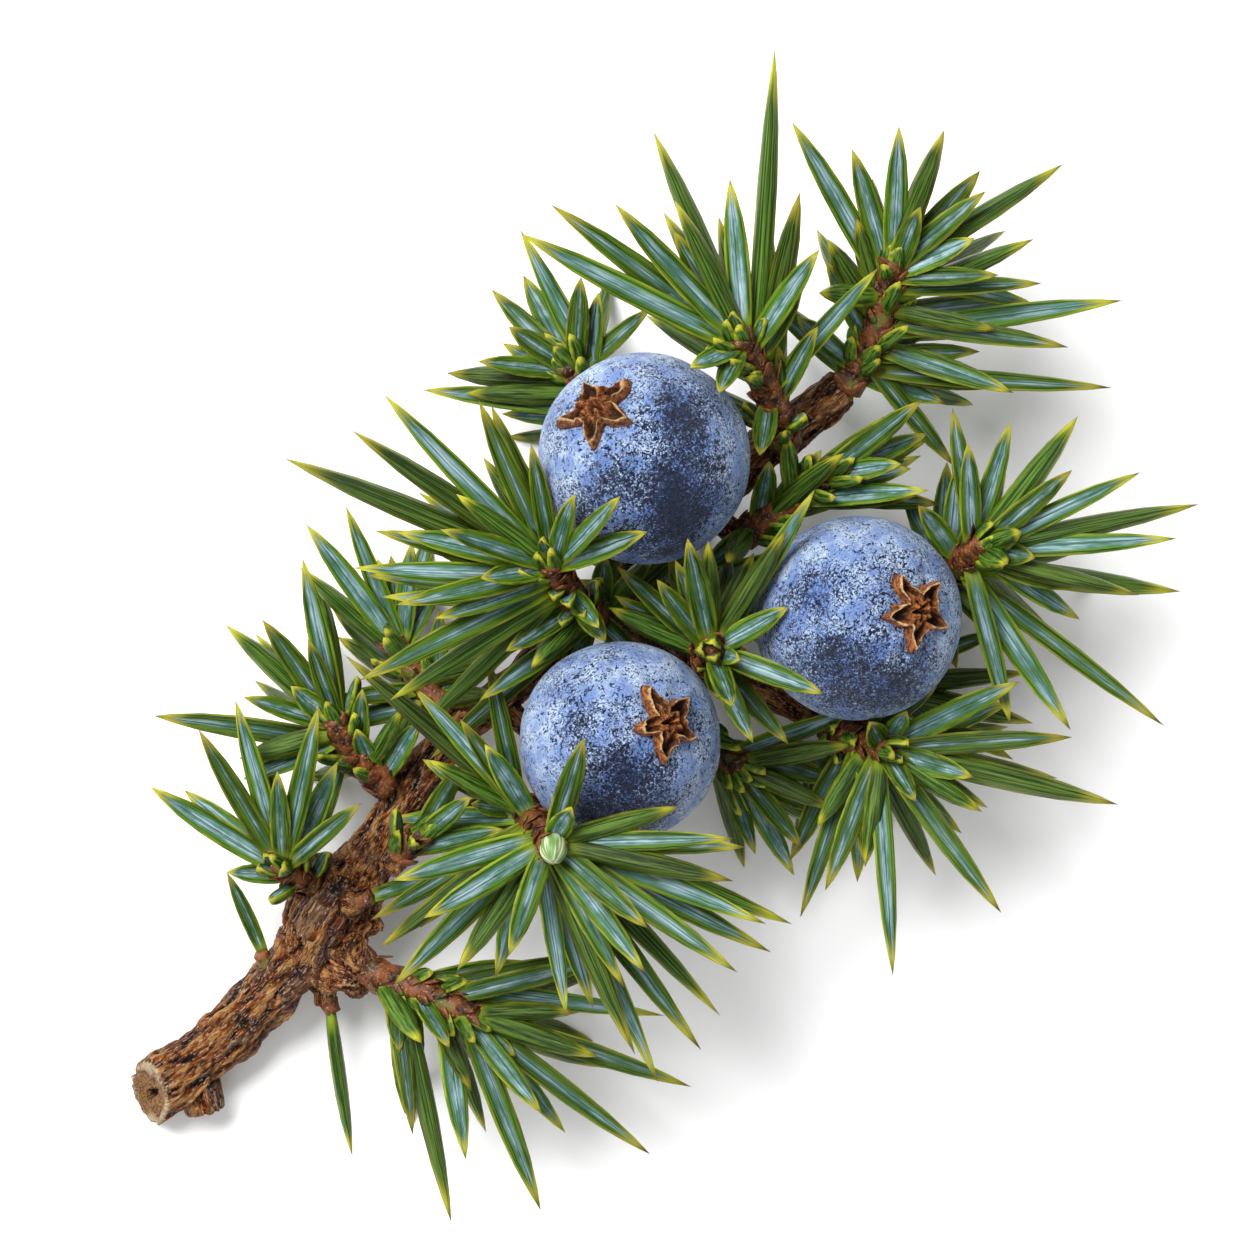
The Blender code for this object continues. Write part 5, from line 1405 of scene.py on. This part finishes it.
def leaves_piece(shoot, needles, blade, finish):
    """All of a shoot's leaves, each with a width and a tint of its own."""
    draw = random.Random(shoot.name + " tints")
    bm = bmesh.new()
    widths = LONE_WIDTHS if length_of(shoot.route) < TUFT_REACH else BLADE_WIDTHS
    for needle in needles:
        add_blade(bm, blade, needle, NEEDLE_WIDTH * draw.uniform(*widths), draw.random())
    for needle in young_leaves(shoot):
        add_blade(bm, blade, needle, draw.uniform(*YOUNG_WIDTHS),
                  draw.uniform(*YOUNG_TINTS))
    piece(closed(bm, shoot.name + "_needles"), finish, shoot.name)


def add_scale(bm, blade, foot, ahead, outward, length, wide, curl, tint):
    """Adds one thin dry scale, which hugs what it grows on and curls away towards its tip."""
    side = ahead.cross(outward).normalized()
    root, belly = SCALE_BELLY
    for corner in copy_of(blade, bm, tint):
        x, y, share = corner.co
        full = (1 - share ** SCALE_POINT) * (root + belly * math.sin(share * math.pi))
        point = foot + length * (share * ahead + curl * share ** 2 * outward)
        lift = y * SCALE_THICKNESS - SCALE_HUG * (x * full) ** 2
        corner.co = point + x * full * wide / 2 * side + lift * outward
        corner.co.z = max(corner.co.z, 0.0)


def core_piece(shoot, scale, finish):
    """A shoot's knobbly core, closely set with dry scales in threes."""
    draw = random.Random(shoot.name + " scales")
    points = [Vector(point) for point in shoot.route]
    points[0] -= CORE_BACK * (points[1] - points[0]).normalized()
    route, radii = eased(points, [FINE_CORE * radius for radius in core_radii(shoot)])
    length = length_of(route)
    bm = tube(route, radii, CORE_SIDES, max(6, round(length / CORE_STEP)))
    for corner in bm.verts:
        rough = sum(high * noise.noise(corner.co * close) for close, high in CORE_LUMPS)
        corner.co += rough * corner.normal
    bm.loops.layers.float_color.new("leaf")
    rings = max(2, round(length / SCALE_SPACING)) if length > TUFT_REACH else 0
    for ring in range(rings):
        point, axis, place = along(route, (ring + SCALE_FIRST) / rings)
        radius = radii[min(int(place), len(radii) - 1)]
        for index in range(SCALES_ROUND):
            turn = 360 / SCALES_ROUND * index + SCALE_STAGGER * (ring % 2)
            outward = outward_at(axis, turn + draw.uniform(-SCALE_STRAY, SCALE_STRAY))
            ahead = (axis + draw.uniform(*SCALE_LEANS) * outward).normalized()
            add_scale(bm, scale, point + (radius - SCALE_SINK) * outward, ahead, outward,
                      draw.uniform(*SCALE_LENGTHS), draw.uniform(*SCALE_WIDTHS),
                      draw.uniform(*SCALE_CURLS), draw.random())
    piece(closed(bm, shoot.name + "_core"), finish, shoot.name)


def bud_piece(shoot, finish):
    """The closed bud in the middle of a shoot's tip: young leaves folded to an egg."""
    tip, axis, _ = along(shoot.route, 1)
    bm = ball(BUD_SIDES, BUD_RINGS)
    leaf = bm.loops.layers.float_color.new("leaf")
    for face in bm.faces:
        across = across_bud(face.calc_center_median())
        for loop in face.loops:
            loop[leaf] = (across, 0.5 + 0.45 * loop.vert.co.z, 0.5, 1.0)
    turn_it = UP.rotation_difference(Vector(BUD_WAY)).to_matrix()
    for corner in bm.verts:
        across = across_bud(corner.co)
        groove = BUD_GROOVE * bell(min(across, 1 - across), GROOVE_REACH)
        shaped = corner.co * Vector(BUD_SIZE) * (1 - groove)
        corner.co = tip + BUD_RISE * axis + turn_it @ shaped
    piece(closed(bm, shoot.name + "_bud"), finish, shoot.name)


def across_bud(point):
    """How far across one of the bud's leaves a point is."""
    return math.atan2(point.y, point.x) / math.tau * BUD_LEAVES % 1


# ---- the stem ------------------------------------------------------------------------------

def wood_routes():
    """Every stretch of wood with no kinks, from the stem to the berries' stalks. Twigs and
    stalks reach into what they carry."""
    for wood in WOODS.values():
        yield eased(wood.route, wood.radii)
    for shoot in SHOOTS:
        start, end = foot_route(shoot)
        ahead = (end - start).normalized()
        yield eased((start, start.lerp(end, 0.5), end + REACH_IN * ahead),
                    (FOOT_RADII[0] * TWIG_FOOT, *FOOT_RADII))
    for berry in BERRIES:
        start, low, high = stalk_route(berry)
        yield eased((start, low, high + REACH_IN * (high - low).normalized()), STALK_RADII)


def rough_wood():
    """The stem and its branches as overlapping tubes, with the cut at the stem's foot."""
    bm = bmesh.new()
    for route, radii in wood_routes():
        part = tube(route, radii, WOOD_SIDES, max(4, round(length_of(route) / WOOD_STEP)))
        if not bm.verts:
            cut_foot(part)
        mesh = kept(part)
        bm.from_mesh(mesh)
        bpy.data.meshes.remove(mesh)
    for x, y, z, radius in KNOBS:
        bmesh.ops.create_icosphere(bm, subdivisions=2, radius=radius,
                                   matrix=Matrix.Translation((x, y, z)))
    return closed(bm, "rough_wood")


def one_skin(mesh):
    """Melts overlapping bodies into one closed skin of small even faces."""
    obj = put("melt", mesh)
    melt = obj.modifiers.new("melt", "REMESH")
    melt.mode = "VOXEL"
    melt.voxel_size = VOXEL
    bpy.context.view_layer.update()
    whole = obj.evaluated_get(bpy.context.evaluated_depsgraph_get())
    skin = bpy.data.meshes.new_from_object(whole)
    bpy.data.objects.remove(obj)
    skin.name = "stem_bark"
    return skin


def grain_of(places):
    """Where each place is on the wood it belongs to: two ways across the grain and one along
    it, in millimetres, and how thick that wood is."""
    nearest = np.full(len(places), np.inf)
    grain = np.zeros((len(places), 3))
    girth = np.ones(len(places))
    for index, (route, radii) in enumerate(wood_routes()):
        travelled = ROUTES_APART * index
        for start, end, thick, thin in zip(route, route[1:], radii, radii[1:]):
            leg = np.array(end - start)
            length = np.linalg.norm(leg)
            share = np.clip((places - np.array(start)) @ leg / length ** 2, 0, 1)
            out = places - (np.array(start) + share[:, None] * leg)
            radius = thick + share * (thin - thick)
            gap = np.linalg.norm(out, axis=1) - radius
            side, up = square_to(Vector(leg).normalized())
            here = np.stack([out @ np.array(side), out @ np.array(up),
                             travelled + share * length], axis=1)
            closer = gap < nearest
            nearest[closer] = gap[closer]
            grain[closer] = here[closer]
            girth[closer] = radius[closer]
            travelled += length
    return grain, girth


def layer_at(layer, place, wander=0):
    """A layer's noise at a place in the grain."""
    x, y, z = place
    return noise.noise(Vector((x * layer.across + wander, y * layer.across - wander,
                               z * layer.along_it + layer.apart)))


def relief_of(grain, girth):
    """How high the bark stands at each place, in millimetres, and as a share for its colour,
    lighter where it stands high: partly its own colour, partly painted highlight and shade.
    """
    height = np.zeros(len(grain))
    share = np.zeros(len(grain))
    for index, place in enumerate(grain):
        wander = WANDER.height * layer_at(WANDER, place)
        ridge = 1 - 2 * abs(layer_at(RIDGE, place, wander))
        fibre = layer_at(FIBRE, place, wander)
        fine = layer_at(FINE, place)
        knot = 1 + KNOT_GROWTH * bell(place[2] - KNOT_PLACE, KNOT_SPREAD)
        height[index] = (RIDGE.height * ridge + FIBRE.height * fibre + FINE.height * fine
                         + LUMP.height * knot * layer_at(LUMP, place))
        share[index] = BARK_TONE + RIDGE.light * ridge + FIBRE.light * fibre + FINE.light * fine
    return height * np.minimum(1.0, girth / FULL_GIRTH), np.clip(share, 0, 1)


def stray_of(places, close, high):
    """How far a soft edge strays at each place."""
    return [high * noise.noise(Vector(place) * close) for place in places]


def cut_of(places, outward, grain, girth):
    """The cut at the stem's foot: which places are on it, and how far each belongs to its pale
    rim, to its wood and to the slot in its middle, which is painted dark with shade."""
    way = np.array(CUT_WAY) / np.linalg.norm(CUT_WAY)
    on_cut = ((places - np.array(CUT_PLACE)) @ way > -CUT_NEAR) & (outward @ way > CUT_FACING)
    narrow, flat = PIT_FLAT
    reach = np.hypot(grain[:, 0], grain[:, 1] * flat) / girth + stray_of(places, *RIM_STRAY)
    rim = on_cut * np.clip((reach - RIM_START) / RIM_FADE, 0, 1)
    wood = on_cut * (1 - rim)
    slot = np.hypot(grain[:, 0] * narrow, grain[:, 1] * flat) / girth
    slot += stray_of(places, *PIT_STRAY)
    return on_cut, rim, wood, wood * np.clip((PIT_REACH - slot) / PIT_FADE, 0, 1)


def knob_hollow(places):
    """How far each place belongs to the hollow in the broken knob, which is painted dark with
    shade.
    """
    foot, end = [np.array(point) for point in WOODS["broken_knob"].route]
    way = (end - foot) / np.linalg.norm(end - foot)
    past = (places - end) @ way
    off = np.linalg.norm(places - end - past[:, None] * way, axis=1)
    return (past > -HOLLOW_NEAR) * np.clip((HOLLOW_REACH - off) / HOLLOW_FADE, 0, 1)


def stem_piece(finish):
    """The stem, its branches, twigs and stalks in one skin of bark."""
    mesh = one_skin(rough_wood())
    places, outward = np.zeros((2, len(mesh.vertices) * 3))
    mesh.vertices.foreach_get("co", places)
    mesh.vertices.foreach_get("normal", outward)
    places, outward = places.reshape(-1, 3), outward.reshape(-1, 3)
    grain, girth = grain_of(places)
    height, share = relief_of(grain, girth)
    on_cut, rim, wood, pit = cut_of(places, outward, grain, girth)
    hollow = knob_hollow(places)
    cut_height = RIM_HEIGHT * rim - WOOD_DEPTH * wood - PIT_DEPTH * pit + CUT_ROUGH * height
    height = np.where(on_cut, cut_height, height) - HOLLOW_DEPTH * hollow

    places += height[:, None] * outward
    places[:, 2] = np.maximum(places[:, 2], 0.0)
    mesh.vertices.foreach_set("co", places.ravel())
    # the third channel is painted shade, in the slot in the cut and in the knob's hollow
    ends = np.stack([rim, wood, np.maximum(pit, hollow)], axis=1)
    for name, kind, field, values in (("grain", "FLOAT_VECTOR", "vector", grain),
                                      ("relief", "FLOAT", "value", share),
                                      ("cut", "FLOAT_VECTOR", "vector", ends)):
        layer = mesh.attributes.new(name, kind, "POINT")
        layer.data.foreach_set(field, values.astype(np.float32).ravel())
    piece(mesh, finish, "woody_stem")


# ---- berries and crowns --------------------------------------------------------------------

def seen_at(across, up_it):
    """Which way from a berry's middle a place on it is, that from above lies a share of its
    radius to the right of and above its middle."""
    level = across * VIEW_RIGHT + up_it * VIEW_UP
    level.z = math.sqrt(max(0.02, 1 - level.length_squared))
    return level.normalized()


def fine_berry(berry, finish):
    """A bloomy berry with soft dents, folds round its crown and dark patches, partly where the
    bloom has come off and partly painted shade.
    """
    bm = ball(BERRY_ROUND, BERRY_RISE)
    turn_it = UP.rotation_difference(Vector(berry.crown_way)).to_matrix()
    centre = Vector(berry.centre)
    close, far = RILL_STRAY
    rubbed_and_shaded_layer = bm.verts.layers.float.new("rubbed")
    for corner in bm.verts:
        way = corner.co.copy()
        x, y, z = way * berry.radius
        z *= berry.stretch
        reach, turn = math.hypot(x, y), math.atan2(y, x)
        if way.z > 0:
            z -= dimple(reach, turn)
            rill = math.cos(RILLS * turn + far * noise.noise(way * close))
            z += RILL_HEIGHT * rill * bell(reach - RILL_PLACE, RILL_REACH)
        outward = turn_it @ way
        dent = sum(high * noise.noise(outward * near + centre) for near, high in SKIN_LUMPS)
        rubbed = 0.0
        # each patch darkens the bloom, partly as it comes off and partly as painted shade
        for across, up_it, spread, strength, depth in RUBBED_AND_SHADED_PATCHES[berry.name]:
            here = bell((outward - seen_at(across, up_it)).length, spread)
            rubbed += strength * here
            dent -= depth * here
        corner.co = turn_it @ Vector((x, y, z)) + dent * outward + centre
        corner[rubbed_and_shaded_layer] = min(rubbed, MOST_RUBBED_AND_SHADED)
    piece(closed(bm, "berry_" + berry.name + "_skin"), finish,
          "berry_" + berry.name)


def fine_crown(berry, finish):
    """A dry star of uneven lobes, each hollowed to a cup, round a ring with a hole in it."""
    bm = ball(CROWN_SIDES, CROWN_RINGS)
    hollow_shade_layer = bm.verts.layers.float.new("hollow")
    pale_and_lit_layer = bm.verts.layers.float.new("worn")
    centre = Vector(berry.centre)
    thickness = CROWN_THICKNESS + CROWN_EXTRA
    (edge_close, edge_far), (close, high) = LOBE_STRAY, CRINKLE
    for corner in bm.verts:
        turn = math.atan2(corner.co.y, corner.co.x)
        place = turn * CROWN_LOBES / math.tau + 0.5
        length, point, cup_depth = LOBES[berry.name][math.floor(place) % CROWN_LOBES]
        off_lobe = abs(place % 1 - 0.5) * 2
        share = math.hypot(corner.co.x, corner.co.y)
        edge = Vector((math.cos(turn), math.sin(turn), share))
        ragged = edge_far * noise.noise(edge * edge_close + centre)
        outline = LOBE_WAIST + (LOBE_REACH * length - LOBE_WAIST) * (1 - off_lobe) ** point
        reach = (outline + ragged * share) * share
        x, y = reach * math.cos(turn), reach * math.sin(turn)
        under = skin_height(berry, reach, turn) - CROWN_SINK

        cup = (LOBE_CUP * cup_depth * bell(share - LOBE_CUP_PLACE, LOBE_CUP_REACH)
               * (1 - off_lobe) ** LOBE_CUP_SIDES)
        ring = RING_HEIGHT * bell(share - INNER_RING_PLACE, INNER_RING_REACH)
        hole = HOLE_DEPTH * bell(share, HOLE_REACH)
        fall = thickness * max(0, (share - EDGE_START) / (1 - EDGE_START)) ** EDGE_FALL
        fold = FOLD_HEIGHT * math.cos(FOLDS * math.tau * (place % 1 - 0.5)) * share
        crinkle = high * noise.noise(Vector((x, y, 0)) * close + centre)
        thick = thickness - cup + ring - hole + EDGE_CURL * share ** 3 - fall + fold
        over = under + max(THINNEST, thick + crinkle)
        corner.co = (x, y, over if corner.co.z > 0.01 else under)
        # painted shade in the cups and the hole, darker where they sink deeper; pale on the edge
        # and ring, partly their own colour and partly painted highlight
        corner[hollow_shade_layer] = min(1.0, CUP_SHADE * cup + HOLE_SHADE * hole) ** SHADE_EDGE
        corner[pale_and_lit_layer] = min(1.0, bell(share - PALE_EDGE_PLACE, PALE_EDGE_REACH) + RING_PALE * ring)
    piece(closed(turned(bm, berry), "crown_" + berry.name + "_calyx"), finish,
          "crown_" + berry.name)


# ---- the table, the light and the camera ---------------------------------------------------

def lay_floor(finish):
    """The surface that the sprig lies on."""
    bm = bmesh.new()
    bmesh.ops.create_grid(bm, x_segments=2, y_segments=2, size=FLOOR_SIZE)
    mesh = kept(bm, "floor")
    mesh.transform(Matrix.Translation((0, 0, FLOOR_DROP)))
    mesh.materials.append(finish)
    put("floor", mesh)


def add_lamp(name, place, size, power):
    """A soft square light that looks at the sprig."""
    lamp = bpy.data.lights.new(name, "AREA")
    lamp.size = size
    lamp.energy = power
    obj = put(name, lamp)
    obj.location = place
    obj.rotation_mode = "QUATERNION"
    obj.rotation_quaternion = (-Vector(place)).to_track_quat("-Z", "Y")


def light_room():
    """A white room with two lamps."""
    world = bpy.data.worlds.new("studio")
    world.use_nodes = True
    sky = world.node_tree.nodes["Background"]
    sky.inputs["Color"].default_value = (1, 1, 1, 1)
    sky.inputs["Strength"].default_value = SKY_STRENGTH
    bpy.context.scene.world = world
    for lamp in LAMPS:
        add_lamp(*lamp)
    bpy.context.scene.view_settings.view_transform = "Standard"


def set_camera():
    """A camera high above the sprig, which looks straight down."""
    camera = bpy.data.cameras.new("camera")
    camera.sensor_width = SENSOR
    camera.lens = SENSOR * (CAMERA_HEIGHT - VIEW_HEIGHT) / VIEW_WIDTH
    camera.clip_start = NEAREST_SEEN
    obj = put("camera", camera)
    obj.location = (Vector((*VIEW_MIDDLE, CAMERA_HEIGHT)) + Vector((*SHIFT.xy, 0))) * MM
    obj.rotation_euler = (0, 0, -VIEW_TURN)
    bpy.context.scene.camera = obj


def main():
    set_camera()
    light_room()
    lay_floor(floor_finish())
    stem_piece(bark_finish())
    skin, crown = skin_finish(), crown_finish()
    for berry in BERRIES:
        fine_berry(berry, skin)
        fine_crown(berry, crown)
    needle, dry, young = needle_finish(), scale_finish(), bud_finish()
    blade = blade_template(BLADE_SIDES, len(BLADE_STATIONS))
    scale = blade_template(SCALE_SIDES, SCALE_RINGS)
    grown = grow_needles()
    for shoot in SHOOTS:
        leaves_piece(shoot, grown[shoot.name], blade, needle)
        core_piece(shoot, scale, dry)
        if shoot.name == BUD_SHOOT:
            bud_piece(shoot, young)


SHIFT = layout_shift()
main()
